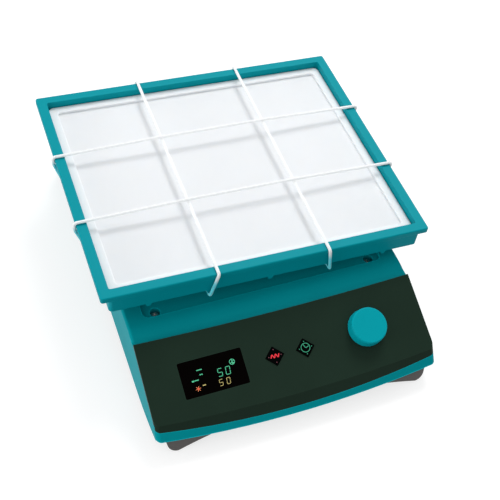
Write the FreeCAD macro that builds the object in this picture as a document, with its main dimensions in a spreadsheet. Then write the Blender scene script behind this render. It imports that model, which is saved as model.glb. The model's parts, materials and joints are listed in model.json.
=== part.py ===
import FreeCAD, Part
import math
import os
import re
import Sketcher
from FreeCAD import Placement, Rotation, Vector

# Rocking shaker: a teal housing on a grey pan, a dark sloping console in front, and a tray
# that rocks left and right on a shaft which runs front to back.
# Frame: X to the right, Y to the back, Z up, origin on the table under the middle of the tray.
# Lengths are in millimetres and angles in degrees.

os.makedirs("parts", exist_ok=True)
doc = FreeCAD.newDocument("rocking_shaker")
sheet = doc.addObject("Spreadsheet::Sheet", "Sizes")

SIZES = {
    # housing
    "origin_right": 1.91,
    "origin_front": 39.44,
    "base_width": 231,
    "side_draft": 1.5,
    "base_rear": 118,
    "housing_wall": 3,
    "housing_bottom": 8,
    "deck_height": 54.5,
    "deck_front": 112,
    "deck_drop": 3,
    "ledge_front": 134,
    "shoulder_radius": 2.5,
    "side_sweep": 54,
    "recess_width": 200,
    "recess_front": 108.5,
    "recess_rear": 108,
    "recess_depth": 1.5,
    "recess_corner": 5,
    # console
    "console_edge": 129,
    "console_height": 55,
    "console_slope": 22.75,
    "console_length": 62.6,
    "console_edge_bow": 2,
    "front_slope": 58.5,
    "front_bow": 3.3,
    "lip_height": 19,
    "lip_dip": 4,
    "seam_height": 26.1,
    "seam_dip": 6.2,
    "seam_gap": 0.15,
    "cover_wall": 2.5,
    "crease_radius": 1.2,
    # pan and feet
    "pan_width": 214,
    "pan_draft": 2.2,
    "pan_front": 196,
    "pan_rear": 113,
    "pan_rake": 9,
    "pan_wall": 3,
    "pan_floor": 3,
    "pan_top": 24,
    "pan_corner": 8,
    "arch_radius": 407,
    "arch_span": 198,
    "arch_depth": 8,
    "foot_lift": 3,
    "foot_radius": 9,
    "foot_seat": 2,
    "foot_pad": 1.5,
    "foot_x": 88,
    "foot_front": 172,
    "foot_rear": 92,
    # screw towers that join housing and pan
    "tower_x": 90,
    "tower_front": 104,
    "tower_rear": 96,
    "tower_radius": 6,
    "tower_split": 30,
    "bore_radius": 4.1,
    "bore_depth": 6,
    # rocking axis and tray
    "axis_height": 38,
    "rest_tilt": 2.3,
    "rock_angle": 7,
    "tray_width": 268,
    "tray_depth": 221.4,
    "tray_rise": 51,
    "rim_width": 8,
    "rim_height": 5.4,
    "skirt_side_step": 6.4,
    "skirt_end_step": 1.1,
    "skirt_depth": 18.5,
    "skirt_wall": 1.6,
    "tray_floor": 3,
    "tray_hollow": 10,
    "mat_floor": 1.8,
    "mat_border": 7,
    "mat_border_height": 4,
    "mat_corner": 5,
    "hollow_corner": 1.5,
    "mat_gap": 0.4,
    "hook_drop": 3,
    "hook_width": 5,
    "hook_tip": 2.4,
    "hook_thickness": 2.4,
    "hook_pitch": 50,
    "hook_last": 97.5,
    "side_hook_pitch": 35,
    "cord_radius": 1.25,
    "knot_radius": 2.3,
    # carrier, shaft and bearings
    "shaft_radius": 4,
    "shaft_half": 79.5,
    "running_gap": 0.04,
    "arm_y": 58,
    "arm_thickness": 10,
    "arm_hub_radius": 11,
    "arm_flange_width": 48,
    "arm_flange_height": 3.5,
    "arm_height": 31,
    "arm_waist": 12,
    "slot_clearance": 2.2,
    "carrier_width": 120,
    "carrier_overhang": 22,
    "carrier_thickness": 3,
    "carrier_hole_radius": 12,
    "carrier_hole_pitch": 40,
    "tray_screw_x": 50,
    "tray_screw_y": 70,
    "block_y": 74,
    "block_depth": 14,
    "block_width": 52,
    "block_foot": 4,
    "block_radius": 12.5,
    "bearing_radius": 9.5,
    "bearing_width": 6,
    "clip_radius": 7,
    "clip_thickness": 0.8,
    # chassis plate
    "plate_lift": 2,
    "plate_thickness": 2,
    "plate_left": 45,
    "plate_right": 98,
    "plate_half_depth": 88,
    "plate_screw_inset": 8,
    # crank drive
    "lever_length": 28,
    "lever_hub_radius": 10,
    "lever_end_radius": 7,
    "lever_half_width": 6,
    "crank_height": 22,
    "rod_width": 6.5,
    "rod_end_radius": 6,
    "rod_pin_radius": 3,
    "bush_wall": 1.5,
    "side_gap": 0.3,
    "disc_radius": 10,
    "disc_width": 6,
    "crank_shaft_radius": 3,
    "crank_shaft_front": 58,
    "crank_block_rear": 23,
    "crank_block_front": 42,
    "crank_block_half": 14,
    "crank_bearing_radius": 6.5,
    "crank_bearing_width": 5,
    "pulley_front": 56,
    "pulley_rear": 46.5,
    "crank_pulley_radius": 9.5,
    "motor_pulley_radius": 6,
    "pulley_flange": 1.6,
    "flange_thickness": 1,
    "belt_thickness": 1.2,
    "belt_gap": 0.1,
    "motor_x": 78,
    "motor_height": 31,
    "motor_side": 35,
    "motor_length": 36,
    "motor_face": 43,
    "motor_corner": 4,
    "motor_shaft_radius": 2.5,
    "motor_screw_pitch": 28,
    "bracket_wall": 3,
    "bracket_side": 40,
    # console fittings, measured from the upper edge down the slope
    "window_x": 61.8,
    "window_s": 36,
    "window_width": 50.4,
    "window_length": 27.8,
    "window_corner": 1.2,
    "window_thickness": 1.5,
    "window_ledge": 2,
    "key_x": 12.6,
    "key_s": 35.7,
    "key_side": 10.6,
    "key_gap": 0.3,
    "key_proud": 0.8,
    "key_travel": 0.6,
    "key_thickness": 4,
    "knob_x": 65,
    "knob_s": 33.2,
    "knob_radius": 15,
    "knob_height": 9.5,
    "knob_lift": 0.4,
    "knob_wall": 2,
    "knob_boss_radius": 5.5,
    "encoder_shaft_radius": 3,
    "board_depth": 13,
    "board_thickness": 1.6,
    "board_left": 95,
    "board_right": 88,
    "board_top": 12,
    "board_bottom": 56,
    "board_screw_inset": 5,
    # mains side
    "supply_x": 75,
    "supply_y": 48,
    "supply_width": 46,
    "supply_length": 76,
    "supply_lift": 4,
    "inlet_x": 70,
    "inlet_z": 36,
    "inlet_width": 27,
    "inlet_height": 20,
    "inlet_flange": 2.5,
    "inlet_length": 24,
    "switch_x": 30,
    "switch_width": 13,
    "switch_height": 19,
    "switch_flange": 1.5,
    "switch_length": 14,
    "rocker_angle": 12,
    # tray edges, cords and fasteners
    "rim_corner": 2,
    "rim_round": 1.1,
    "rim_wall": 2,
    "skirt_corner": 3,
    "cord_gap": 0.05,
    "cord_bend": 2.4,
    "cord_left": 44.5,
    "cord_right": 46,
    "cord_back": 36.7,
    "cord_front": 36,
    "crossing_radius": 400,
    "screw_radius": 1.5,
    "screw_head": 2.75,
    "screw_head_height": 1.6,
    "deck_screw_radius": 2,
    "deck_screw_head": 3.5,
    "deck_screw_head_height": 2.5,
    "pan_tower_radius": 5,
    "boss_radius": 5,
    "carrier_screw_x": 16,
    "crank_block_radius": 12,
    "crank_block_foot": 22,
    "motor_boss_radius": 9,
    "motor_boss_length": 2,
    "encoder_side": 13,
    "encoder_height": 6.5,
    "bush_radius": 4.5,
    "stem_radius": 2,
    "stem_length": 7,
    "switch_side": 6,
    "rod_front": 13.4,
}

for row, (alias, number) in enumerate(SIZES.items(), start=1):
    sheet.set("A%d" % row, alias)
    sheet.set("B%d" % row, str(number))
    sheet.setAlias("B%d" % row, alias)
doc.recompute()


def bound(expression):
    """An expression in aliases, written for the sheet."""
    return re.sub(r"\b([a-z]+_[a-z_]+)\b", r"Sizes.\1", str(expression))


def size(expression):
    """The number that an expression in aliases stands for."""
    found = sheet.evalExpression(bound(expression))
    return float(getattr(found, "Value", found))


def body(label, at=("0", "0", "0"), axis=Vector(1, 0, 0), angle="0"):
    """A new body whose turn and place, given from under the tray's middle, follow the sheet."""
    made = doc.addObject("PartDesign::Body", label)
    made.Label = label
    at = ("%s - origin_right" % at[0], "%s + origin_front" % at[1], at[2])
    made.Placement = Placement(Vector(*[size(value) for value in at]), Rotation(axis, size(angle)))
    for letter, value in zip("xyz", at):
        made.setExpression("Placement.Base." + letter, bound(value))
    if angle != "0":
        made.setExpression("Placement.Rotation.Angle", bound(angle))
    return made


def console_body(label):
    """A body whose XY plane is the console's face, with Y up the slope from its upper edge."""
    return body(label, ("0", "-console_edge", "console_height"), angle="console_slope")


def rocking_body(label):
    """A body whose origin is on the rocking axis, tilted as the tray rests."""
    return body(label, ("0", "0", "axis_height"), Vector(0, 1, 0), "rest_tilt")


def sketch(owner, plane, offset="0", shift=("0", "0"), tilt=None):
    """A sketch on an origin plane, moved along its normal and within the plane."""
    made = owner.newObject("Sketcher::SketchObject", owner.Label + "_sketch")
    support = [face for face in owner.Origin.OriginFeatures if face.Role == plane][0]
    made.AttachmentSupport = [(support, "")]
    made.MapMode = "FlatFace"
    place = Vector(size(shift[0]), size(shift[1]), size(offset))
    rotation = Rotation(Vector(1, 0, 0), size(tilt)) if tilt else Rotation()
    made.AttachmentOffset = Placement(place, rotation)
    for letter, value in zip("xyz", (shift[0], shift[1], offset)):
        made.setExpression("AttachmentOffset.Base." + letter, bound(value))
    if tilt:
        made.setExpression("AttachmentOffset.Rotation.Angle", bound(tilt))
    return made


def fix_point(drawn, edge, end, across, up):
    """Ties one end of an edge to a place given by two expressions."""
    for kind, value in (("DistanceX", across), ("DistanceY", up)):
        index = drawn.addConstraint(Sketcher.Constraint(kind, -1, 1, edge, end, size(value)))
        drawn.setExpression("Constraints[%d]" % index, bound(value))


def outline(drawn, corners):
    """A closed outline. A corner is (across, up), or (across, up, radius, side) where the edge to
    the next corner is an arc whose centre lies to the left (side 1) or right (side -1)."""
    first = drawn.GeometryCount
    points = [Vector(size(corner[0]), size(corner[1]), 0) for corner in corners]
    starts = []
    for number, corner in enumerate(corners):
        start, end = points[number], points[(number + 1) % len(points)]
        if len(corner) == 2:
            drawn.addGeometry(Part.LineSegment(start, end), False)
            starts.append((1, 2))
            continue
        radius, side = size(corner[2]), corner[3]
        chord = end - start
        left = Vector(-chord.y, chord.x, 0).normalize()
        rise = math.sqrt(max(radius ** 2 - (chord.Length / 2) ** 2, 0))
        centre = (start + end) * 0.5 + left * (side * rise)
        circle = Part.Circle(centre, Vector(0, 0, 1), radius)
        low, high = (start, end) if side > 0 else (end, start)
        angles = [math.atan2(spot.y - centre.y, spot.x - centre.x) for spot in (low, high)]
        if angles[1] <= angles[0]:
            angles[1] += 2 * math.pi
        drawn.addGeometry(Part.ArcOfCircle(circle, *angles), False)
        starts.append((1, 2) if side > 0 else (2, 1))
    count = len(corners)
    for number, corner in enumerate(corners):
        after = (number + 1) % count
        joint = (first + number, starts[number][1], first + after, starts[after][0])
        drawn.addConstraint(Sketcher.Constraint("Coincident", *joint))
        fix_point(drawn, first + number, starts[number][0], corner[0], corner[1])
        if len(corner) == 4:
            round_edge = Sketcher.Constraint("Radius", first + number, size(corner[2]))
            index = drawn.addConstraint(round_edge)
            drawn.setExpression("Constraints[%d]" % index, bound(corner[2]))


def rectangle(drawn, left, low, right, high):
    """A rectangle between two opposite corners."""
    outline(drawn, [(left, low), (right, low), (right, high), (left, high)])


def rounded(drawn, left, low, right, high, radius):
    """A rectangle with rounded corners."""
    corner_left, corner_right = "(%s) + (%s)" % (left, radius), "(%s) - (%s)" % (right, radius)
    corner_low, corner_high = "(%s) + (%s)" % (low, radius), "(%s) - (%s)" % (high, radius)
    outline(drawn, [
        (corner_left, low), (corner_right, low, radius, 1),
        (right, corner_low), (right, corner_high, radius, 1),
        (corner_right, high), (corner_left, high, radius, 1),
        (left, corner_high), (left, corner_low, radius, 1),
    ])


def circle(drawn, across, up, radius):
    """A circle about a place given by two expressions."""
    edge = drawn.GeometryCount
    middle = Vector(size(across), size(up), 0)
    drawn.addGeometry(Part.Circle(middle, Vector(0, 0, 1), size(radius)), False)
    fix_point(drawn, edge, 3, across, up)
    index = drawn.addConstraint(Sketcher.Constraint("Radius", edge, size(radius)))
    drawn.setExpression("Constraints[%d]" % index, bound(radius))


def extrude(owner, kind, drawn, length, both=False, back=False, along=None):
    """A Pad or a Pocket of a sketch, to both sides, turned back, or along a slanting direction."""
    made = owner.newObject("PartDesign::" + kind, owner.Label + "_" + kind.lower())
    made.Profile = drawn
    made.Reversed = back
    if both:
        made.Midplane = True
    made.setExpression("Length", bound(length))
    if along:
        made.UseCustomVector = True
        made.Direction = along
    before = owner.Shape.Volume if kind == "Pocket" else None
    doc.recompute()
    if kind == "Pocket" and made.Shape.Volume >= before - 1e-6:
        raise RuntimeError("%s cuts nothing" % made.Name)
    return made


def spin(owner, drawn):
    """A full turn of a sketch about its own vertical axis."""
    made = owner.newObject("PartDesign::Revolution", owner.Label + "_revolution")
    made.Profile = drawn
    made.ReferenceAxis = (drawn, ["V_Axis"])
    made.Angle = 360
    doc.recompute()
    return made


def origin_axis(owner, role):
    """One of the body's own axes."""
    return [feature for feature in owner.Origin.OriginFeatures if feature.Role == role][0]


def repeat(owner, feature, pitch):
    """A second copy of a feature, one pitch further along the body's X axis."""
    made = owner.newObject("PartDesign::LinearPattern", owner.Label + "_pattern")
    made.Originals = [feature]
    made.Mode = "Spacing"
    made.Direction = (origin_axis(owner, "X_Axis"), [""])
    made.Occurrences = 2
    made.setExpression("Offset", bound(pitch))
    owner.Tip = made
    doc.recompute()


def along_y(owner, low, high, *shapes, kind="Pad"):
    """Adds or cuts shapes drawn in the XZ plane, from one Y to another."""
    drawn = sketch(owner, "XZ_Plane", "-(%s)" % low)
    for shape in shapes:
        shape[0](drawn, *shape[1:])
    return extrude(owner, kind, drawn, "(%s) - (%s)" % (high, low), back=kind == "Pad")


def along_z(owner, low, high, *shapes, kind="Pad"):
    """Adds or cuts shapes drawn in the XY plane, from one Z to another."""
    drawn = sketch(owner, "XY_Plane", low if kind == "Pad" else high)
    for shape in shapes:
        shape[0](drawn, *shape[1:])
    return extrude(owner, kind, drawn, "(%s) - (%s)" % (high, low))


def along_x(owner, width, *shapes, kind="Pad"):
    """Adds or cuts shapes drawn in the YZ plane, evenly to both sides of it."""
    drawn = sketch(owner, "YZ_Plane")
    for shape in shapes:
        shape[0](drawn, *shape[1:])
    return extrude(owner, kind, drawn, width, both=True)


def revolved(owner, across, back, corners):
    """A turned piece with a vertical axis at (across, back), from its (radius, height) outline."""
    drawn = sketch(owner, "XZ_Plane", "-(%s)" % back, (across, "0"))
    outline(drawn, corners)
    return spin(owner, drawn)


def screws(owner, across, backs, seat, shank, length, pitch=None, up=False,
           head=("screw_head", "screw_head_height")):
    """Screws with their heads on a seat and their shanks down or up: one at each place given
    towards the back, and a second one beside it at a pitch."""
    sign, over = ("+", "-") if up else ("-", "+")
    crown, tip = "(%s) %s (%s)" % (seat, over, head[1]), "(%s) %s (%s)" % (seat, sign, length)
    for back in backs:
        feature = revolved(owner, across, back, [
            ("0", crown), (head[0], crown), (head[0], seat), (shank, seat), (shank, tip), ("0", tip),
        ])
        if pitch:
            repeat(owner, feature, pitch)


def soften(owner, kind, amount, chosen):
    """A Fillet or a Chamfer on the edges of the body that a test picks."""
    names = ["Edge%d" % number for number, edge in enumerate(owner.Tip.Shape.Edges, start=1)
             if chosen(edge)]
    if not names:
        raise RuntimeError("%s has no such edge" % owner.Label)
    base = owner.Tip
    made = owner.newObject("PartDesign::" + kind, owner.Label + "_" + kind.lower())
    made.Base = (base, names)
    made.setExpression("Radius" if kind == "Fillet" else "Size", bound(amount))
    doc.recompute()
    return made


# Places on the base that several pieces share

HALF = "(base_width / 2)"
DIP_Y = "(-console_edge + 2.5)"
DIP_Z = "(deck_height - deck_drop)"
CREASE_Y = "(-console_edge - console_length * cos(console_slope))"
CREASE_Z = "(console_height - console_length * sin(console_slope))"
COVER_RUN = "(cover_wall / sin(front_slope))"
WALL_RUN = "(housing_wall / sin(front_slope))"
FRONT_REACH = "(pan_front + 30)"
PLATE_BOTTOM = "(foot_lift + pan_floor + plate_lift)"
PLATE_TOP = "(foot_lift + pan_floor + plate_lift + plate_thickness)"
FLOOR_TOP = "(foot_lift + pan_floor)"
SEAT_Y = "(-console_edge + (%s - console_height + cover_wall / cos(console_slope)) / tan(console_slope))" % DIP_Z
UNDER = "(console_height - cover_wall / cos(console_slope))"
INNER_Z = (
    "((%s + tan(console_slope) * (console_edge + %s - %s / tan(front_slope) + %s))"
    " / (1 - tan(console_slope) / tan(front_slope)))" % (UNDER, CREASE_Y, CREASE_Z, COVER_RUN)
)
FRAME = Vector(-size("origin_right"), size("origin_front"), 0)
UPHILL = Vector(0, math.cos(math.radians(size("front_slope"))), math.sin(math.radians(size("front_slope"))))


def bow_radius(bow):
    """The radius of an arc across the base whose middle stands off by a bow."""
    return "((%s ^ 2 + %s ^ 2) / (2 * %s))" % (HALF, bow, bow)


def front_y(height):
    """Where the front face meets the side of the base at a height."""
    return "(%s - (%s - (%s)) / tan(front_slope))" % (CREASE_Y, CREASE_Z, height)


def front_strip(level, thickness):
    """The front wall's section at a level: two arcs across the base."""
    outer = front_y(level)
    inner = "(%s + %s)" % (outer, thickness)
    return [
        ("-" + HALF, outer, bow_radius("front_bow"), 1), (HALF, outer),
        (HALF, inner, bow_radius("front_bow"), -1), ("-" + HALF, inner),
    ]


def side_trims(owner):
    """Leans both sides of a piece inwards towards the deck."""
    outer = "(%s + 5)" % HALF
    narrow = "(%s - side_draft)" % HALF
    drawn = sketch(owner, "XZ_Plane")
    for sign in ("", "-"):
        outline(drawn, [
            (sign + HALF, "housing_bottom"), (sign + outer, "housing_bottom"),
            (sign + outer, "console_height + 1"), (sign + narrow, "console_height + 1"),
        ])
    return extrude(owner, "Pocket", drawn, "4 * %s" % HALF, both=True)


def towers(radius):
    """The four screw towers' circles."""
    return [(circle, x, y, radius) for x in ("-tower_x", "tower_x") for y in ("-tower_front", "tower_rear")]


# Housing: one moulded shell with the deck, the side and rear walls and the front lip

def make_housing():
    housing = body("housing")
    sweep_rise = "(lip_height - housing_bottom)"
    sweep_radius = "((side_sweep ^ 2 + %s ^ 2) / (2 * %s))" % (sweep_rise, sweep_rise)
    drop_run = "(-deck_front - %s)" % DIP_Y
    drop_radius = "((%s ^ 2 + deck_drop ^ 2) / (2 * deck_drop))" % drop_run
    along_x(housing, "base_width", (outline, [
        ("base_rear", "housing_bottom"), ("base_rear", "deck_height"),
        ("-deck_front", "deck_height", drop_radius, 1), (DIP_Y, DIP_Z),
        (SEAT_Y, DIP_Z), (front_y(INNER_Z) + " + " + COVER_RUN, INNER_Z),
        (front_y("seam_height") + " + " + COVER_RUN, "seam_height"), (front_y("seam_height"), "seam_height"),
        (front_y("lip_height"), "lip_height", sweep_radius, 1),
        (front_y("lip_height") + " + side_sweep", "housing_bottom"),
    ]))
    under_deck = "deck_height - housing_wall"
    rear = "base_rear - housing_wall"
    along_x(housing, "base_width - 2 * housing_wall - side_draft", (outline, [
        (rear, "0"), (rear, under_deck), ("-deck_front", under_deck),
        (DIP_Y, DIP_Z + " - housing_wall"), ("-ledge_front", DIP_Z + " - housing_wall"),
        ("-ledge_front", "console_height + 1"), ("-" + FRONT_REACH, "console_height + 1"),
        ("-" + FRONT_REACH, "0"),
    ]), kind="Pocket")
    strip = sketch(housing, "XY_Plane", "housing_bottom")
    outline(strip, front_strip("housing_bottom", WALL_RUN))
    extrude(housing, "Pad", strip, "seam_height - housing_bottom", along=UPHILL)
    along_y(housing, "-" + FRONT_REACH, front_y("lip_height") + " + " + WALL_RUN, (outline, [
        ("-" + HALF, "lip_height", bow_radius("lip_dip"), 1), (HALF, "lip_height"),
        (HALF, "0"), ("-" + HALF, "0"),
    ]), kind="Pocket")
    along_y(housing, "-" + FRONT_REACH, front_y("seam_height") + " + " + WALL_RUN, (outline, [
        ("-" + HALF, "seam_height", bow_radius("seam_dip"), 1), (HALF, "seam_height"),
        (HALF, "seam_height + 1"), ("-" + HALF, "seam_height + 1"),
    ]), kind="Pocket")
    along_z(housing, "tower_split", "deck_height - recess_depth - 1", *towers("tower_radius"))
    side_trims(housing)
    shoulder = size(HALF) - size("side_draft")
    soften(housing, "Fillet", "shoulder_radius", lambda edge: is_shoulder(edge, shoulder))
    along_z(housing, "deck_height - recess_depth", "deck_height", (
        rounded, "-recess_width / 2", "-recess_front", "recess_width / 2", "recess_rear", "recess_corner",
    ), kind="Pocket")
    along_z(housing, "deck_height - recess_depth - bore_depth", "deck_height", *towers("bore_radius"),
            kind="Pocket")
    along_z(housing, "tower_split - 1", "deck_height", *towers("2.2"), kind="Pocket")
    slot_half = "(arm_waist + slot_clearance + (deck_height - axis_height) * sin(rock_angle))"
    slot_run = "(arm_thickness / 2 + slot_clearance)"
    along_z(housing, "deck_height - recess_depth - housing_wall", "deck_height", *[
        (rectangle, "-" + slot_half, y + " - " + slot_run, slot_half, y + " + " + slot_run)
        for y in ("-arm_y", "arm_y")], kind="Pocket")
    along_y(housing, "base_rear - housing_wall - 1", "base_rear", (
        rectangle, "-inlet_x - inlet_width / 2", "inlet_z - inlet_height / 2",
        "-inlet_x + inlet_width / 2", "inlet_z + inlet_height / 2",
    ), (
        rectangle, "-switch_x - switch_width / 2", "inlet_z - switch_height / 2",
        "-switch_x + switch_width / 2", "inlet_z + switch_height / 2",
    ), kind="Pocket")


def ends(edge):
    """The two end points of an edge."""
    return [vertex.Point for vertex in (edge.Vertexes[0], edge.Vertexes[-1])]


def is_shoulder(edge, shoulder):
    """Whether an edge runs along the deck's side."""
    return edge.Length > 100 and all(
        abs(point.z - size("deck_height")) < 0.01 and abs(point.x) > shoulder - 1 for point in ends(edge))




# Console cover: the dark sloping face and chin, let in above the side walls and the front lip

def on_console(owner, height="0"):
    """A sketch parallel to the console's face, at a height above it."""
    return sketch(owner, "XY_Plane", "console_height + (%s) * cos(console_slope)" % height,
                  ("0", "-console_edge - (%s) * sin(console_slope)" % height), "console_slope")


def diamond(drawn, across, up, side):
    """A square standing on its corner."""
    reach = "((%s) / sqrt(2))" % side
    outline(drawn, [
        ("%s - %s" % (across, reach), up), (across, "%s - %s" % (up, reach)),
        ("%s + %s" % (across, reach), up), (across, "%s + %s" % (up, reach)),
    ])


def slope_point(along, drop="0"):
    """A point of the console's side view, some way down the slope and some way below it."""
    return ("-console_edge - (%s) * cos(console_slope)" % along,
            "console_height - (%s) * sin(console_slope) - (%s)" % (along, drop))


def make_cover():
    cover = body("console_cover")
    reach = "console_length + 10"
    along_x(cover, "base_width", (outline, [
        slope_point("0"), slope_point(reach), slope_point(reach, "cover_wall / cos(console_slope)"),
        (SEAT_Y, DIP_Z), ("-console_edge", DIP_Z),
    ]))
    level = "(seam_height - seam_dip - 1)"
    strip = sketch(cover, "XY_Plane", level)
    outline(strip, front_strip(level, COVER_RUN))
    extrude(cover, "Pad", strip, "%s + 3 - %s" % (CREASE_Z, level), along=UPHILL)
    along_x(cover, "base_width", (outline, [
        slope_point(reach), slope_point("console_length / 2"),
        slope_point("console_length / 2", "-2 * cover_wall"), slope_point(reach, "-20"),
    ]), kind="Pocket")
    ahead = sketch(cover, "XY_Plane", level)
    face = front_y(level)
    outline(ahead, [
        (HALF, face, bow_radius("front_bow"), -1), ("-" + HALF, face),
        ("-" + HALF, "-" + FRONT_REACH), (HALF, "-" + FRONT_REACH),
    ])
    extrude(cover, "Pocket", ahead, "%s + 12 - %s" % (CREASE_Z, level), along=UPHILL)
    seam = "(seam_height + seam_gap)"
    along_y(cover, "-" + FRONT_REACH, front_y("seam_height") + " + 2 * " + COVER_RUN, (outline, [
        ("-" + HALF, seam, bow_radius("seam_dip"), 1), (HALF, seam), (HALF, "0"), ("-" + HALF, "0"),
    ]), kind="Pocket")
    along_z(cover, DIP_Z, "console_height", (outline, [
        ("-" + HALF, "-console_edge", bow_radius("console_edge_bow"), 1), (HALF, "-console_edge"),
        (HALF, "-console_edge + 1"), ("-" + HALF, "-console_edge + 1"),
    ]), kind="Pocket")
    side_trims(cover)
    window = ("-window_x - window_width / 2", "-window_s - window_length / 2",
              "-window_x + window_width / 2", "-window_s + window_length / 2")
    drawn = on_console(cover)
    rounded(drawn, *window, "window_corner")
    extrude(cover, "Pocket", drawn, "window_thickness")
    drawn = on_console(cover)
    rectangle(drawn, *["%s %s window_ledge" % (edge, sign) for edge, sign in zip(window, "++--")])
    for across in ("-key_x", "key_x"):
        diamond(drawn, across, "-key_s", "key_side + 2 * key_gap")
    circle(drawn, "knob_x", "-knob_s", "bush_radius + 0.2")
    extrude(cover, "Pocket", drawn, "2 * cover_wall")
    drawn = on_console(cover, "-board_depth")
    board_corners(drawn, "board_screw_inset - 1.5")
    extrude(cover, "Pad", drawn, "board_depth - cover_wall / 2")
    drawn = on_console(cover, "-cover_wall")
    board_corners(drawn, "screw_radius")
    extrude(cover, "Pocket", drawn, "board_depth")


def board_corners(drawn, radius):
    """Circles where the control board is screwed to the cover."""
    for across in ("-board_left + board_screw_inset", "board_right - board_screw_inset"):
        for down in ("-board_top - board_screw_inset", "-board_bottom + board_screw_inset"):
            circle(drawn, across, down, radius)


# Pan and feet

def make_pan():
    pan = body("base_pan")
    top_half = "(pan_width / 2 + pan_draft * (pan_top - 10) / 10)"
    low_half = "(pan_width / 2 - pan_draft * (10 - foot_lift) / 10)"
    along_y(pan, "-pan_front", "pan_rear", (outline, [
        ("-" + low_half, "foot_lift"), (low_half, "foot_lift"),
        (top_half, "pan_top"), ("-" + top_half, "pan_top"),
    ]))
    soften(pan, "Fillet", "pan_corner", lambda edge: edge.Length > 100 and all(
        abs(point.z - size("foot_lift")) < 0.01 and abs(point.y - other.y) > 100
        for point, other in zip(ends(edge), reversed(ends(edge)))))
    along_x(pan, "base_width", (outline, [
        ("-pan_front", "foot_lift"), ("-pan_front - 1", "foot_lift"),
        ("-pan_front - 1", "pan_top"), ("-pan_front + pan_rake", "pan_top"),
    ]), kind="Pocket")
    along_y(pan, "-pan_front", "-pan_front + arch_depth", (
        circle, "0", "foot_lift - sqrt(arch_radius ^ 2 - (arch_span / 2) ^ 2)", "arch_radius",
    ), kind="Pocket")
    rise = "(%s - foot_lift)" % FLOOR_TOP
    inner_low = "(%s + pan_draft * %s / 10 - pan_wall)" % (low_half, rise)
    along_y(pan, "-pan_front + arch_depth + 1.4 * pan_wall", "pan_rear - pan_wall", (outline, [
        ("-" + inner_low + " + pan_corner / 2", FLOOR_TOP), (inner_low + " - pan_corner / 2", FLOOR_TOP),
        (inner_low, FLOOR_TOP + " + pan_corner / 2"), (top_half + " - pan_wall", "pan_top"),
        ("-" + top_half + " + pan_wall", "pan_top"), ("-" + inner_low, FLOOR_TOP + " + pan_corner / 2"),
    ]), kind="Pocket")
    along_z(pan, "foot_lift + pan_floor / 2", "tower_split", *towers("pan_tower_radius"))
    along_z(pan, "foot_lift + pan_floor / 2", FLOOR_TOP + " + foot_pad", *feet("foot_radius + 3"))
    along_z(pan, "foot_lift + pan_floor / 2", PLATE_BOTTOM, *plate_corners("boss_radius"))
    along_z(pan, "foot_lift + pan_floor / 2", FLOOR_TOP + " + supply_lift", *supply_corners("boss_radius / 2"))
    along_z(pan, "foot_lift", "foot_lift + foot_seat", *feet("foot_radius + side_gap"), kind="Pocket")
    along_z(pan, "foot_lift + foot_seat", FLOOR_TOP + " + foot_pad", *feet("screw_radius"), kind="Pocket")
    along_z(pan, FLOOR_TOP + " + 1", "tower_split", *towers("deck_screw_radius"), kind="Pocket")
    along_z(pan, FLOOR_TOP + " - 1", PLATE_BOTTOM, *plate_corners("screw_radius"), kind="Pocket")
    along_z(pan, FLOOR_TOP, FLOOR_TOP + " + supply_lift", *supply_corners("screw_radius / 2"), kind="Pocket")


def feet(radius):
    """Circles where the four feet sit."""
    return [(circle, x, y, radius) for x in ("-foot_x", "foot_x") for y in ("-foot_front", "foot_rear")]


def plate_corners(radius):
    """Circles where the chassis plate is screwed to the pan."""
    return [
        (circle, x, y, radius)
        for x in ("-plate_left + plate_screw_inset", "plate_right - plate_screw_inset")
        for y in ("-plate_half_depth + plate_screw_inset", "plate_half_depth - plate_screw_inset")
    ]


def supply_corners(radius):
    """Circles where the power supply's board is held."""
    return [
        (circle, x, y, radius)
        for x in ("-supply_x - supply_width / 2 + 4", "-supply_x + supply_width / 2 - 4")
        for y in ("supply_y - supply_length / 2 + 4", "supply_y + supply_length / 2 - 4")
    ]


def make_feet():
    foot = body("rubber_feet")
    for back in ("-foot_front", "foot_rear"):
        feature = revolved(foot, "-foot_x", back, [
            ("screw_radius + 0.2", "foot_lift - 0.5"), ("screw_radius + 0.2", "foot_lift + foot_seat"),
            ("foot_radius", "foot_lift + foot_seat"), ("foot_radius", "0.5"), ("foot_radius - 0.5", "0"),
            ("screw_head + 0.6", "0"), ("screw_head + 0.6", "foot_lift - 0.5"),
        ])
        repeat(foot, feature, "2 * foot_x")
    screws(body("feet_screws"), "-foot_x", ("-foot_front", "foot_rear"), "foot_lift - 0.5",
           "screw_radius", "pan_floor + foot_pad", "2 * foot_x", up=True)
    screws(body("deck_screws"), "-tower_x", ("-tower_front", "tower_rear"),
           "deck_height - recess_depth - bore_depth", "deck_screw_radius", "38", "2 * tower_x",
           head=("deck_screw_head", "deck_screw_head_height"))


# Chassis: a steel plate on the pan with the bearing blocks, the motor and the crank block

def ring(owner, low, high, outer, inner, across="0", up="0"):
    """A ring about an axis that runs front to back."""
    along_y(owner, low, high, (circle, across, up, outer), (circle, across, up, inner))


def rod(owner, low, high, radius, across="0", up="0"):
    """A round bar that runs front to back."""
    along_y(owner, low, high, (circle, across, up, radius))


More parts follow.
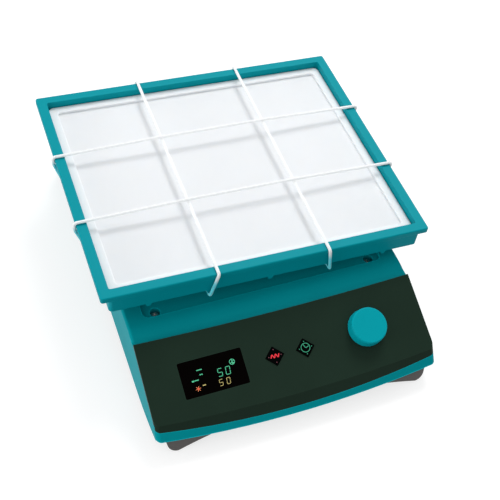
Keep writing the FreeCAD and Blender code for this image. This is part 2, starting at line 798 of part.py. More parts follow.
def upright(owner, low, high, across, up, radius, foot_half):
    """A bearing block's side: a foot with flanges and a rounded head about the bore."""
    along_y(owner, low, high, (outline, [
        ("%s - %s" % (across, foot_half), PLATE_TOP), ("%s + %s" % (across, foot_half), PLATE_TOP),
        ("%s + %s" % (across, foot_half), PLATE_TOP + " + block_foot"),
        ("%s + %s" % (across, radius), PLATE_TOP + " + block_foot"),
        ("%s + %s" % (across, radius), up, radius, 1), (across, "%s + %s" % (up, radius), radius, 1),
        ("%s - %s" % (across, radius), up),
        ("%s - %s" % (across, radius), PLATE_TOP + " + block_foot"),
        ("%s - %s" % (across, foot_half), PLATE_TOP + " + block_foot"),
    ]))


def frame_places():
    """Where the small screws go down into the chassis plate: across, back, pitch."""
    return [
        ("-block_width / 2 + 6", ("-block_y", "block_y"), "block_width - 12"),
        ("lever_length - crank_block_foot + 5", ("-(crank_block_front + crank_block_rear) / 2",),
         "2 * crank_block_foot - 10"),
        ("motor_x - bracket_side / 2 + 7", ("-motor_face + motor_length + 5",), "bracket_side - 14"),
    ]


def frame_holes(radius):
    """Circles at the same places."""
    return [
        (circle, place, back, radius) for across, backs, pitch in frame_places() for back in backs
        for place in (across, "%s + %s" % (across, pitch))
    ]


def make_chassis():
    plate = body("chassis_plate")
    along_z(plate, PLATE_BOTTOM, PLATE_TOP, (
        rounded, "-plate_left", "-plate_half_depth", "plate_right", "plate_half_depth", "5"))
    along_z(plate, PLATE_BOTTOM, PLATE_TOP, *plate_corners("screw_radius + 0.2"), *frame_holes("screw_radius"),
            kind="Pocket")
    screws(body("chassis_screws"), "-plate_left + plate_screw_inset",
           ("-plate_half_depth + plate_screw_inset", "plate_half_depth - plate_screw_inset"), PLATE_TOP,
           "screw_radius", "plate_thickness + plate_lift + 0.8",
           "plate_right + plate_left - 2 * plate_screw_inset")
    for label, sign in (("bearing_block_front", "-"), ("bearing_block_rear", "")):
        block = body(label)
        middle = sign + "block_y"
        upright(block, middle + " - block_depth / 2", middle + " + block_depth / 2", "0", "axis_height",
                "block_radius", "block_width / 2")
        inner, outer = "block_y - bearing_width / 2", "block_y + block_depth / 2"
        low, high = ("-(%s)" % outer, "-(%s)" % inner) if sign else (inner, outer)
        along_y(block, low, high, (circle, "0", "axis_height", "bearing_radius"), kind="Pocket")
        along_y(block, middle + " - block_depth / 2", middle + " + block_depth / 2",
                (circle, "0", "axis_height", "bearing_radius - 3"), kind="Pocket")
        along_z(block, PLATE_TOP, PLATE_TOP + " + block_foot", *[
            (circle, place, middle, "screw_radius + 0.2")
            for place in ("-block_width / 2 + 6", "block_width / 2 - 6")], kind="Pocket")
    bearings = body("shaft_bearings")
    for middle in ("-block_y", "block_y"):
        ring(bearings, middle + " - bearing_width / 2", middle + " + bearing_width / 2",
             "bearing_radius", "shaft_radius + running_gap", up="axis_height")
    crank = body("crank_block")
    upright(crank, "-crank_block_front", "-crank_block_rear", "lever_length", "crank_height",
            "crank_block_radius", "crank_block_foot")
    for low, high in crank_bearing_spans():
        along_y(crank, low, high, (circle, "lever_length", "crank_height", "crank_bearing_radius"),
                kind="Pocket")
    along_y(crank, "-crank_block_front", "-crank_block_rear",
            (circle, "lever_length", "crank_height", "crank_bearing_radius - 2"), kind="Pocket")
    along_z(crank, PLATE_TOP, PLATE_TOP + " + block_foot", *frame_holes("screw_radius + 0.2")[4:6],
            kind="Pocket")
    bearings = body("crank_bearings")
    for low, high in crank_bearing_spans():
        ring(bearings, low, high, "crank_bearing_radius", "crank_shaft_radius + running_gap",
             "lever_length", "crank_height")
    bolts = body("frame_screws")
    for number, (across, backs, pitch) in enumerate(frame_places()):
        foot = "bracket_wall" if number == 2 else "block_foot"
        screws(bolts, across, backs, PLATE_TOP + " + " + foot, "screw_radius", foot + " + plate_thickness", pitch)


def crank_bearing_spans():
    """Where the crank's two bearings sit, front to back."""
    return [
        ("-crank_block_front", "-crank_block_front + crank_bearing_width"),
        ("-crank_block_rear - crank_bearing_width", "-crank_block_rear"),
    ]


def squared(drawn, across, up, side, corner):
    """A square with rounded corners about a middle."""
    rounded(drawn, "%s - (%s) / 2" % (across, side), "%s - (%s) / 2" % (up, side),
            "%s + (%s) / 2" % (across, side), "%s + (%s) / 2" % (up, side), corner)


def motor_corners(radius):
    """Circles where the motor's face is screwed to its bracket."""
    return [
        (circle, "motor_x + %s * motor_screw_pitch / 2" % x, "motor_height + %s * motor_screw_pitch / 2" % z,
         radius) for x in (-1, 1) for z in (-1, 1)
    ]


def make_motor():
    face, rear = "-motor_face", "-motor_face + motor_length"
    motor = body("motor")
    along_y(motor, face, rear, (squared, "motor_x", "motor_height", "motor_side", "motor_corner"))
    rod(motor, face + " - motor_boss_length", face, "motor_boss_radius", "motor_x", "motor_height")
    along_y(motor, face + " - motor_boss_length", face + " + 8",
            (circle, "motor_x", "motor_height", "motor_shaft_radius + running_gap"), kind="Pocket")
    along_y(motor, face, face + " + 5", *motor_corners("screw_radius"), kind="Pocket")
    bracket = body("motor_bracket")
    left, right = "motor_x - bracket_side / 2", "motor_x + bracket_side / 2"
    along_y(bracket, face + " - bracket_wall", face, (
        rectangle, left, PLATE_TOP, right, "motor_height + bracket_side / 2"))
    along_y(bracket, face, rear + " + 10", (rectangle, left, PLATE_TOP, right, PLATE_TOP + " + bracket_wall"))
    along_y(bracket, face + " - bracket_wall", face,
            (circle, "motor_x", "motor_height", "motor_boss_radius + 0.2"),
            *motor_corners("screw_radius + 0.2"), kind="Pocket")
    along_z(bracket, PLATE_TOP, PLATE_TOP + " + bracket_wall", *frame_holes("screw_radius + 0.2")[6:],
            kind="Pocket")
    bolts = body("motor_screws")
    along_y(bolts, face + " - bracket_wall - 1.2", face + " - bracket_wall", *motor_corners("screw_head"))
    along_y(bolts, face + " - bracket_wall", face + " + 4", *motor_corners("screw_radius"))
    rod(body("motor_shaft"), "-pulley_front - 1", face + " + 7.5", "motor_shaft_radius", "motor_x",
        "motor_height")
    rod(body("crank_shaft"), "-crank_shaft_front", "-rod_front", "crank_shaft_radius", "lever_length",
        "crank_height")
    pulley(body("motor_pulley"), "motor_x", "motor_height", "motor_pulley_radius", "motor_shaft_radius")
    pulley(body("crank_pulley"), "lever_length", "crank_height", "crank_pulley_radius", "crank_shaft_radius")
    disc = body("crank_disc")
    ring(disc, "-rod_front - disc_width", "-rod_front", "disc_radius", "crank_shaft_radius", "lever_length",
         "crank_height")
    belt = body("drive_belt")
    far = ("lever_length", "crank_height", "crank_pulley_radius")
    near = ("motor_x", "motor_height", "motor_pulley_radius")
    spread = [[(x, z, "(%s + belt_gap%s)" % (radius, extra)) for x, z, radius in (far, near)]
              for extra in (" + belt_thickness", "")]
    along_y(belt, "-pulley_front + flange_thickness + side_gap / 2",
            "-pulley_rear - flange_thickness - side_gap / 2",
            *[(outline, hull(*pair)) for pair in spread])


def pulley(owner, across, up, radius, bore):
    """A flanged belt wheel."""
    ring(owner, "-pulley_front", "-pulley_rear", radius, bore, across, up)
    for low in ("-pulley_front", "-pulley_rear - flange_thickness"):
        ring(owner, low, low + " + flange_thickness", radius + " + pulley_flange", bore, across, up)


def hull(big, small):
    """The outline round two circles, each given as (across, up, radius), the bigger one first."""
    (x1, y1, r1), (x2, y2, r2) = big, small
    run, rise = "((%s) - (%s))" % (x2, x1), "((%s) - (%s))" % (y2, y1)
    gap = "sqrt(%s ^ 2 + %s ^ 2)" % (run, rise)
    lean = "atan2(%s; %s)" % (rise, run)
    open_angle = "acos((%s - %s) / %s)" % (r1, r2, gap)

    def touch(x, y, radius, sign):
        angle = "(%s %s %s)" % (lean, sign, open_angle)
        return "%s + %s * cos(%s)" % (x, radius, angle), "%s + %s * sin(%s)" % (y, radius, angle)

    back = ("%s - %s * cos(%s)" % (x1, r1, lean), "%s - %s * sin(%s)" % (y1, r1, lean))
    return [
        touch(x1, y1, r1, "-"), touch(x2, y2, r2, "-") + (r2, 1), touch(x2, y2, r2, "+"),
        touch(x1, y1, r1, "+") + (r1, 1), back + (r1, 1),
    ]


# Rocker: the shaft, its lever and the carrier, all tilted about the shaft as the tray rests

def make_rocker():
    rod(rocking_body("rocker_shaft"), "-shaft_half", "shaft_half", "shaft_radius")
    clips = rocking_body("shaft_clips")
    for low in ("-block_y - bearing_width / 2 - clip_thickness - 0.1", "block_y + bearing_width / 2 + 0.1"):
        ring(clips, low, low + " + clip_thickness", "clip_radius", "shaft_radius")
    flange_low = "arm_height - arm_flange_height"
    for label, middle in (("carrier_arm_front", "-arm_y"), ("carrier_arm_rear", "arm_y")):
        arm = rocking_body(label)
        low, high = middle + " - arm_thickness / 2", middle + " + arm_thickness / 2"
        along_y(arm, low, high, (outline, [
            ("-arm_hub_radius", "0", "arm_hub_radius", 1), ("0", "-arm_hub_radius", "arm_hub_radius", 1),
            ("arm_hub_radius", "0"), ("arm_waist", flange_low + " - 7.5"),
            ("arm_flange_width / 2", flange_low), ("arm_flange_width / 2", "arm_height"),
            ("-arm_flange_width / 2", "arm_height"), ("-arm_flange_width / 2", flange_low),
            ("-arm_waist", flange_low + " - 7.5"),
        ]))
        along_y(arm, low, high, (circle, "0", "0", "shaft_radius"), kind="Pocket")
        along_z(arm, "arm_height - 6", "arm_height", *[
            (circle, place, middle, "screw_radius") for place in ("-carrier_screw_x", "carrier_screw_x")],
            kind="Pocket")
    plate = rocking_body("carrier_plate")
    plate_top = "arm_height + carrier_thickness"
    along_z(plate, "arm_height", plate_top, (
        rounded, "-carrier_width / 2", "-arm_y - carrier_overhang", "carrier_width / 2", "arm_y + carrier_overhang", "8"))
    along_z(plate, "arm_height", plate_top, (
        circle, "0", "-carrier_hole_pitch", "carrier_hole_radius"), (
        circle, "0", "0", "carrier_hole_radius"), (
        circle, "0", "carrier_hole_pitch", "carrier_hole_radius",
    ), *arm_screws("screw_radius + 0.2"), *tray_corners("screw_radius + 0.2"), kind="Pocket")
    screws(rocking_body("carrier_screws"), "-carrier_screw_x", ("-arm_y", "arm_y"), plate_top,
           "screw_radius", "8", "2 * carrier_screw_x")
    screws(rocking_body("tray_screws"), "-tray_screw_x", ("-tray_screw_y", "tray_screw_y"), "arm_height",
           "screw_radius", "8.5", "2 * tray_screw_x", up=True)
    lever = rocking_body("rocker_lever")
    along_y(lever, "-lever_half_width", "lever_half_width", (
        outline, hull(("0", "0", "lever_hub_radius"), ("lever_length", "0", "lever_end_radius"))))
    along_y(lever, "-lever_half_width", "lever_half_width", (circle, "0", "0", "shaft_radius"),
            (circle, "lever_length", "0", "rod_pin_radius"), kind="Pocket")
    rod(rocking_body("lever_pin"), "-lever_half_width - side_gap - rod_width", "lever_half_width",
        "rod_pin_radius", "lever_length")


def arm_screws(radius):
    """Circles where the carrier plate is screwed to the two arms."""
    return [(circle, x, y, radius) for x in ("-carrier_screw_x", "carrier_screw_x") for y in ("-arm_y", "arm_y")]


def tray_corners(radius):
    """Circles where the tray is screwed to the carrier plate."""
    return [
        (circle, x, y, radius) for x in ("-tray_screw_x", "tray_screw_x")
        for y in ("-tray_screw_y", "tray_screw_y")
    ]


# Tray: a hollow with a rim, a skirt below it and hooks for the cords on the skirt's lower edge

SKIRT_X = "(tray_width / 2 - skirt_side_step)"
SKIRT_Y = "(tray_depth / 2 - skirt_end_step)"
SKIRT_LOW = "(tray_rise - skirt_depth)"
HOLLOW_X = "(tray_width / 2 - rim_width)"
HOLLOW_Y = "(tray_depth / 2 - rim_width)"
HOLLOW_FLOOR = "(tray_rise - tray_hollow)"


def box_about(half_x, half_y, corner):
    """A rounded rectangle about the middle."""
    return rounded, "-(%s)" % half_x, "-(%s)" % half_y, half_x, half_y, corner


def hook(drawn, place):
    """A tab that narrows downwards from the skirt's edge."""
    low = SKIRT_LOW + " - hook_drop"
    outline(drawn, [
        ("%s - hook_tip / 2" % place, low), ("%s + hook_tip / 2" % place, low),
        ("%s + hook_width / 2" % place, SKIRT_LOW), ("%s + hook_width / 2" % place, SKIRT_LOW + " + 1"),
        ("%s - hook_width / 2" % place, SKIRT_LOW + " + 1"), ("%s - hook_width / 2" % place, SKIRT_LOW),
    ])


def make_tray():
    tray = rocking_body("tray")
    rim_low = "tray_rise - rim_height"
    along_z(tray, rim_low, "tray_rise", box_about("tray_width / 2", "tray_depth / 2", "rim_corner"))
    soften(tray, "Fillet", "rim_round", lambda edge: abs(edge.CenterOfMass.z - edge.Vertexes[0].Z) < 0.01)
    along_z(tray, SKIRT_LOW, rim_low + " + 1", box_about(SKIRT_X, SKIRT_Y, "skirt_corner"))
    along_y(tray, "-" + SKIRT_Y, SKIRT_Y, *[
        (hook, place) for place in ("-hook_last", "-hook_pitch", "0", "hook_pitch", "hook_last")])
    along_x(tray, "2 * " + SKIRT_X, *[
        (hook, "%s * side_hook_pitch" % number) for number in (-2, -1, 0, 1, 2)])
    along_z(tray, SKIRT_LOW + " - hook_drop", SKIRT_LOW, (
        rectangle, "-%s + hook_thickness" % SKIRT_X, "-%s + hook_thickness" % SKIRT_Y,
        "%s - hook_thickness" % SKIRT_X, "%s - hook_thickness" % SKIRT_Y), kind="Pocket")
    inside = "skirt_corner - skirt_wall"
    along_z(tray, SKIRT_LOW, HOLLOW_FLOOR + " - tray_floor",
            box_about(SKIRT_X + " - skirt_wall", SKIRT_Y + " - skirt_wall", inside), kind="Pocket")
    channel = [SKIRT_Y + " - skirt_wall", HOLLOW_Y + " + skirt_wall"]
    along_z(tray, HOLLOW_FLOOR + " - tray_floor - 1", "tray_rise - rim_wall", *[
        (rectangle, "-" + HOLLOW_X, low, HOLLOW_X, high)
        for low, high in (("-(%s)" % channel[0], "-(%s)" % channel[1]), (channel[1], channel[0]))],
        kind="Pocket")
    along_z(tray, HOLLOW_FLOOR, "tray_rise", box_about(HOLLOW_X, HOLLOW_Y, "hollow_corner"),
            kind="Pocket")
    boss_low = "arm_height + carrier_thickness"
    along_z(tray, boss_low, HOLLOW_FLOOR + " - 1", *tray_corners("boss_radius"))
    along_z(tray, boss_low, "arm_height + 9", *tray_corners("screw_radius"), kind="Pocket")
    mat = rocking_body("tray_mat")
    half_x, half_y = HOLLOW_X + " - mat_gap", HOLLOW_Y + " - mat_gap"
    along_z(mat, HOLLOW_FLOOR, HOLLOW_FLOOR + " + mat_border_height", box_about(half_x, half_y, "mat_corner"))
    along_z(mat, HOLLOW_FLOOR + " + mat_floor", HOLLOW_FLOOR + " + mat_border_height",
            box_about(half_x + " - mat_border", half_y + " - mat_border", "mat_corner / 2"), kind="Pocket")


def cord(label, points, bends):
    """A round cord along straight runs that are joined by tangent arcs."""
    edges, start, length = [], points[0], 0
    for number, bend in enumerate(bends, start=1):
        before, corner, after = points[number - 1:number + 2]
        into, out = (before - corner).normalize(), (after - corner).normalize()
        half_turn = (math.pi - into.getAngle(out)) / 2
        reach = bend * math.tan(half_turn)
        arc_start, arc_end = corner + into * reach, corner + out * reach
        middle = (into + out).normalize() * (bend / math.cos(half_turn) - bend)
        edges.append(Part.LineSegment(start, arc_start).toShape())
        edges.append(Part.Arc(arc_start, corner + middle, arc_end).toShape())
        length += (arc_start - start).Length + 2 * bend * half_turn
        start = arc_end
    edges.append(Part.LineSegment(start, points[-1]).toShape())
    length += (points[-1] - start).Length
    radius = size("cord_radius")
    spine = Part.Wire(edges)
    section = Part.Wire([Part.Circle(points[0], points[1] - points[0], radius).toShape()])
    shape = spine.makePipeShell([section], True, True)
    made = doc.addObject("Part::Feature", label)
    made.Label = label
    made.Shape = shape
    made.Placement = Placement(FRAME + Vector(0, 0, size("axis_height")), Rotation(Vector(0, 1, 0), size("rest_tilt")))
    print("%s length %.1f, bends %s, volume against its section along its length %.4f" % (
        label, length, bends, shape.Volume / (math.pi * radius ** 2 * length)))


def make_cords():
    lay = size("cord_radius + cord_gap")
    above, below = size("tray_rise") + lay, size(SKIRT_LOW + " - hook_drop") - lay
    bend, easing = size("cord_bend"), size("crossing_radius")
    over = above + 2 * size("cord_radius") + 2 * size("cord_gap")
    behind = size("hook_thickness + side_gap")
    end_y, side_x = size("tray_depth / 2") + lay, size("tray_width / 2") + lay
    inner_y, inner_x = size(SKIRT_Y) - behind, size(SKIRT_X) - behind
    under_x = size(SKIRT_X) + bend - 0.6
    knots = []
    for label, across, place in (
            ("hold_down_cord_left", -size("cord_left"), -size("hook_pitch")),
            ("hold_down_cord_right", size("cord_right"), size("hook_pitch"))):
        front = [Vector(place, -inner_y, below), Vector(place, -end_y, below), Vector(across, -end_y, above)]
        rear = [Vector(point.x, -point.y, point.z) for point in reversed(front)]
        cord(label, front + rear, [bend] * 4)
        knots += [front[0], rear[-1]]
    for label, back, place in (
            ("hold_down_cord_rear", size("cord_back"), size("side_hook_pitch")),
            ("hold_down_cord_front", -size("cord_front"), -size("side_hook_pitch"))):
        left = [
            Vector(-inner_x, place, below), Vector(-under_x, place, below),
            Vector(-side_x, back, size("tray_rise - rim_height") - 0.6), Vector(-side_x, back, above),
            Vector(-size("cord_left"), back, over),
        ]
        right = [Vector(-point.x, point.y, point.z) for point in reversed(left)]
        right[0].x = size("cord_right")
        cord(label, left + right, [bend] * 3 + [easing] * 2 + [bend] * 3)
        knots += [left[0], right[-1]]
    made = rocking_body("cord_knots")
    for place in knots:
        to_middle = Vector(-place.x, 0, 0) if abs(place.x) > abs(place.y) else Vector(0, -place.y, 0)
        centre = place + to_middle.normalize() * size("knot_radius")
        ball = made.newObject("PartDesign::AdditiveSphere", "knot")
        ball.AttachmentOffset = Placement(centre, Rotation())
        ball.AttachmentSupport = [(made.Origin.OriginFeatures[3], "")]
        ball.MapMode = "FlatFace"
        ball.setExpression("Radius", bound("knot_radius"))
        doc.recompute()


# Connecting rod between the lever and the crank

def make_connecting_rod():
    tilt = math.radians(size("rest_tilt"))
    length = size("lever_length")
    tip = Vector(length * math.cos(tilt), 0, size("axis_height") - length * math.sin(tilt))
    centre = Vector(length, 0, size("crank_height"))
    throw = length * math.sin(math.radians(size("rock_angle")))
    reach, gap = size("axis_height - crank_height"), (tip - centre).Length
    lean = math.acos((reach ** 2 + gap ** 2 - throw ** 2) / (2 * reach * gap))
    lean += math.atan2(centre.x - tip.x, tip.z - centre.z)

    def hanging(label):
        made = doc.addObject("PartDesign::Body", label)
        made.Label = label
        made.Placement = Placement(FRAME + tip, Rotation(Vector(0, -1, 0), math.degrees(lean)))
        return made

    near, far = "-lever_half_width - side_gap", "-lever_half_width - side_gap - rod_width"
    lower = "crank_height - axis_height"
    made = hanging("connecting_rod")
    narrow = "rod_end_radius - 1.5"
    along_y(made, far, near, (rectangle, "-(%s)" % narrow, lower, narrow, "0"))
    for place in ("0", lower):
        along_y(made, far, near, (circle, "0", place, "rod_end_radius"))
    for place in ("0", lower):
        along_y(made, far, near, (circle, "0", place, "rod_pin_radius + bush_wall"), kind="Pocket")
    bushes = hanging("rod_bushes")
    ring(bushes, far, near, "rod_pin_radius + bush_wall", "rod_pin_radius + running_gap")
    ring(bushes, far, near, "rod_pin_radius + bush_wall", "rod_pin_radius", up=lower)
    rod(hanging("crank_pin"), "-rod_front + side_gap", near, "rod_pin_radius", up=lower)


# Console fittings: display, keys, knob and the board behind them

def console_box(owner, left, low, right, high, bottom, top, corner=None):
    """A box standing on the console's own directions."""
    place = (rounded, left, low, right, high, corner) if corner else (rectangle, left, low, right, high)
    along_z(owner, bottom, top, place)


def make_console_fittings():
    glass = console_body("display_window")
    console_box(glass, "-window_x - window_width / 2 + 0.05", "-window_s - window_length / 2 + 0.05",
                "-window_x + window_width / 2 - 0.05", "-window_s + window_length / 2 - 0.05",
                "-window_thickness", "0", "window_corner")
    board = console_body("control_board")
    board_low = "-board_depth - board_thickness"
    console_box(board, "-board_left", "-board_bottom", "board_right", "-board_top", board_low, "-board_depth")
    drawn = sketch(board, "XY_Plane", "-board_depth")
    board_corners(drawn, "screw_radius + 0.2")
    extrude(board, "Pocket", drawn, "board_thickness")
    display = console_body("display_module")
    console_box(display, "-window_x - window_width / 2 + window_ledge + 0.5",
                "-window_s - window_length / 2 + window_ledge + 0.5",
                "-window_x + window_width / 2 - window_ledge - 0.5",
                "-window_s + window_length / 2 - window_ledge - 0.5", "-board_depth", "-window_thickness")
    switches = console_body("key_switches")
    stem_end = "key_proud - key_thickness - stem_length"
    for across in ("-key_x", "key_x"):
        console_box(switches, across + " - switch_side / 2", "-key_s - switch_side / 2",
                    across + " + switch_side / 2", "-key_s + switch_side / 2", "-board_depth",
                    stem_end + " - key_travel - 0.6")
        along_z(switches, stem_end + " - key_travel - 1", stem_end + " - key_travel - 0.05",
                (circle, across, "-key_s", "stem_radius - 0.3"))
    for label, across in (("key_start", "-key_x"), ("key_timer", "key_x")):
        key = console_body(label)
        along_z(key, "key_proud - key_thickness", "key_proud", (diamond, across, "-key_s", "key_side"))
        soften(key, "Fillet", "key_gap", lambda edge: all(
            abs(point.z - size("key_proud")) < 0.01 for point in ends(edge)))
        collar = "-cover_wall - side_gap"
        along_z(key, collar + " - 1", collar, (diamond, across, "-key_s", "key_side + 3"))
        along_z(key, stem_end, collar, (circle, across, "-key_s", "stem_radius"))
    encoder = console_body("encoder_body")
    top = "-board_depth + encoder_height"
    along_z(encoder, "-board_depth", top, (squared, "knob_x", "-knob_s", "encoder_side", "1"))
    along_z(encoder, top, "-0.5", (circle, "knob_x", "-knob_s", "bush_radius"))
    along_z(encoder, top + " - 2", "-0.5",
            (circle, "knob_x", "-knob_s", "encoder_shaft_radius + running_gap"), kind="Pocket")
    shaft = console_body("encoder_shaft")
    along_z(shaft, top + " - 1.7", "knob_lift + knob_height - knob_wall",
            (circle, "knob_x", "-knob_s", "encoder_shaft_radius"))
    knob = console_body("knob")
    crown = "knob_lift + knob_height"
    revolved(knob, "knob_x", "-knob_s", [
        ("encoder_shaft_radius", "knob_lift"), ("knob_boss_radius", "knob_lift"),
        ("knob_boss_radius", crown + " - knob_wall"), ("knob_radius - knob_wall", crown + " - knob_wall"),
        ("knob_radius - knob_wall", "knob_lift"), ("knob_radius", "knob_lift"),
        ("knob_radius - 0.6", crown + " - 0.8"), ("knob_radius - 1.4", crown), ("0", crown),
        ("0", crown + " - knob_wall"), ("encoder_shaft_radius", crown + " - knob_wall"),
    ])
    bolts = console_body("board_screws")
    for across in ("-board_left + board_screw_inset", "board_right - board_screw_inset"):
        screws(bolts, across, ("-board_top - board_screw_inset", "-board_bottom + board_screw_inset"),
               board_low, "screw_radius", "6", up=True)


# Mains side: the inlet and the switch in the rear wall, and the power supply on the pan

def wall_fitting(owner, across, width, height, flange, length):
    """A snapped-in fitting: a flange against the rear wall and a body through its opening."""
    for margin, low, high in (("0", "base_rear - " + length, "base_rear"),
                              (flange, "base_rear", "base_rear + flange_thickness")):
        along_y(owner, low, high, (
            rounded, "%s - %s / 2 - %s" % (across, width, margin), "inlet_z - %s / 2 - %s" % (height, margin),
            "%s + %s / 2 + %s" % (across, width, margin), "inlet_z + %s / 2 + %s" % (height, margin), "1"))


def make_mains():
    inlet = body("power_inlet")
    wall_fitting(inlet, "-inlet_x", "inlet_width", "inlet_height", "inlet_flange", "inlet_length")
    along_y(inlet, "base_rear - inlet_length + 5", "base_rear + flange_thickness", (outline, [
        ("-inlet_x - 12", "inlet_z - 8"), ("-inlet_x + 12", "inlet_z - 8"), ("-inlet_x + 12", "inlet_z + 4"),
        ("-inlet_x + 8", "inlet_z + 8"), ("-inlet_x - 8", "inlet_z + 8"), ("-inlet_x - 12", "inlet_z + 4"),
    ]), kind="Pocket")
    along_y(inlet, "base_rear - inlet_length + 4", "base_rear - 2", *[
        (rectangle, "-inlet_x + %s - 1" % x, "inlet_z + %s - 2.2" % z, "-inlet_x + %s + 1" % x,
         "inlet_z + %s + 2.2" % z) for x, z in ((-7, -2), (0, 2), (7, -2))])
    frame = body("switch_frame")
    wall_fitting(frame, "-switch_x", "switch_width", "switch_height", "switch_flange", "switch_length")
    hollow = ("-switch_x - switch_width / 2 + 1.8", "inlet_z - switch_height / 2 + 1.8",
              "-switch_x + switch_width / 2 - 1.8", "inlet_z + switch_height / 2 - 1.8")
    along_y(frame, "base_rear - switch_length + 3", "base_rear + flange_thickness", (rectangle, *hollow),
            kind="Pocket")
    drawn = sketch(frame, "YZ_Plane", "-switch_x")
    circle(drawn, "base_rear - 2", "inlet_z", "1 + running_gap")
    extrude(frame, "Pocket", drawn, "switch_width - 1.6", both=True)
    rocker = body("power_rocker", ("-switch_x", "base_rear - 2", "inlet_z"), Vector(1, 0, 0), "rocker_angle")
    along_x(rocker, "switch_width - 3.6 - 2 * side_gap", (outline, [
        ("2.2", "0"), ("2.2 + 6.4 * tan(rocker_angle)", "6.4"), ("0", "7"),
        ("-7", "0"), ("0", "-7"), ("2.2 + 6.4 * tan(rocker_angle)", "-6.4"),
    ]))
    along_x(rocker, "switch_width - 1.9", (circle, "0", "0", "1"))
    supply = body("power_supply")
    deck = FLOOR_TOP + " + supply_lift"
    left, low = "-supply_x - supply_width / 2", "supply_y - supply_length / 2"
    along_z(supply, deck, deck + " + board_thickness", (
        rectangle, left, low, "-supply_x + supply_width / 2", "supply_y + supply_length / 2"))
    along_z(supply, deck, deck + " + board_thickness", *supply_corners("screw_radius"), kind="Pocket")
    along_z(supply, deck + " + 1", deck + " + 22", (
        rounded, left + " + 10", low + " + 26", left + " + 36", low + " + 50", "2"))
    along_z(supply, deck + " + 1", deck + " + 26", (circle, left + " + 13", low + " + 15", "7"),
            (circle, left + " + 34", low + " + 13", "5"))
    along_z(supply, deck + " + 1", deck + " + 18", (
        rectangle, left + " + 8", low + " + 56", left + " + 30", low + " + 59"), (
        rectangle, left + " + 34", low + " + 56", left + " + 42", low + " + 70"))
    bolts = body("supply_screws")
    for across in ("-supply_x - supply_width / 2 + 4", "-supply_x + supply_width / 2 - 4"):
        screws(bolts, across, ("supply_y - supply_length / 2 + 4", "supply_y + supply_length / 2 - 4"),
               deck + " + board_thickness", "screw_radius / 2", "board_thickness + 3.5",
               head=("screw_radius + 0.3", "1.2"))


make_housing()
make_cover()
make_pan()
make_feet()
make_chassis()
make_motor()
make_rocker()
make_tray()
make_cords()
make_connecting_rod()
make_console_fittings()
make_mains()

doc.recompute()
for made in doc.Objects:
    if "Invalid" in made.State or "Error" in made.State:
        raise RuntimeError("%s: %s" % (made.Name, made.State))
for made in doc.Objects:
    if made.TypeId not in ("PartDesign::Body", "Part::Feature"):
        continue
    shape = made.Shape
    print(made.Label, shape.isValid(), round(shape.Volume), shape.BoundBox, len(shape.Solids))
    shape.exportStep("parts/%s.step" % made.Label)
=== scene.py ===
import json
import math

import bmesh
import bpy
from mathutils import Matrix, Vector


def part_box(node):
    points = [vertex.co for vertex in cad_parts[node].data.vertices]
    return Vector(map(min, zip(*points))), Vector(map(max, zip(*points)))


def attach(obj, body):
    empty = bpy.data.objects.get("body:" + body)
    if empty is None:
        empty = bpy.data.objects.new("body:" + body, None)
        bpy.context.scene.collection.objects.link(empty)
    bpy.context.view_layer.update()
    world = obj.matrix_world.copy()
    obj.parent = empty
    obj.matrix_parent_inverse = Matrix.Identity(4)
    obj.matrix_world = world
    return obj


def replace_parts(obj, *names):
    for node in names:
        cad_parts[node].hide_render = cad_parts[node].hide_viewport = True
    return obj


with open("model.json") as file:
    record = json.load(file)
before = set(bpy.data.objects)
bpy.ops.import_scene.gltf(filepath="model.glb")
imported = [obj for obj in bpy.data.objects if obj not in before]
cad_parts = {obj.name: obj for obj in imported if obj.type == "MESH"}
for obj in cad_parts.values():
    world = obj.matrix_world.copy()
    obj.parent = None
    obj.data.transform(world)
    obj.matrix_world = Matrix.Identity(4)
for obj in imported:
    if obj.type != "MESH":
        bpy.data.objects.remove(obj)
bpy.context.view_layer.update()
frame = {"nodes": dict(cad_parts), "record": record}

# Rocking shaker: the looks of a teal bench rocker with a white mat, four white elastic cords and a
# dark sloping console. Lengths are in metres: MM turns millimetres into them.

MM = 0.001
NODES = frame["nodes"]
SLOTS = {part["node"]: part["material_slot"] for part in frame["record"]["subparts"]}


def link_object(name, data):
    made = bpy.data.objects.new(name, data)
    bpy.context.scene.collection.objects.link(made)
    return made


# Camera, from the straight edges of the tray and the base

CAMERA_PLACE = (-0.2054, -0.4653, 0.6431)
CAMERA_RIGHT = (0.93678, -0.34271, 0.07065)
CAMERA_UP = (0.22474, 0.74405, 0.62919)
CAMERA_BACK = (-0.26820, -0.57354, 0.77402)


def make_camera():
    data = bpy.data.cameras.new("photo_camera")
    data.sensor_width = 36
    data.lens = 67.55
    data.clip_start = 0.01
    camera = link_object("photo_camera", data)
    stand = Matrix((CAMERA_RIGHT, CAMERA_UP, CAMERA_BACK)).transposed().to_4x4()
    stand.translation = CAMERA_PLACE
    camera.matrix_world = stand
    bpy.context.scene.camera = camera


# Wiring of materials and node patterns

class Signal:
    """A number, colour, vector or shape that travels between the nodes of one tree."""

    def __init__(self, wiring, socket):
        self.wiring = wiring
        self.socket = socket

    def _work(self, operation, first, second):
        return self.wiring.node("ShaderNodeMath", {"operation": operation}, {0: first, 1: second})

    def __add__(self, other):
        return self._work("ADD", self, other)

    __radd__ = __add__

    def __sub__(self, other):
        return self._work("SUBTRACT", self, other)

    def __rsub__(self, other):
        return self._work("SUBTRACT", other, self)

    def __mul__(self, other):
        return self._work("MULTIPLY", self, other)

    __rmul__ = __mul__

    def between(self, low, high):
        """0 below low, 1 above high, and smooth in between."""
        return self.wiring.node("ShaderNodeMapRange", {"interpolation_type": "SMOOTHSTEP"},
                                {"Value": self, "From Min": low, "From Max": high})


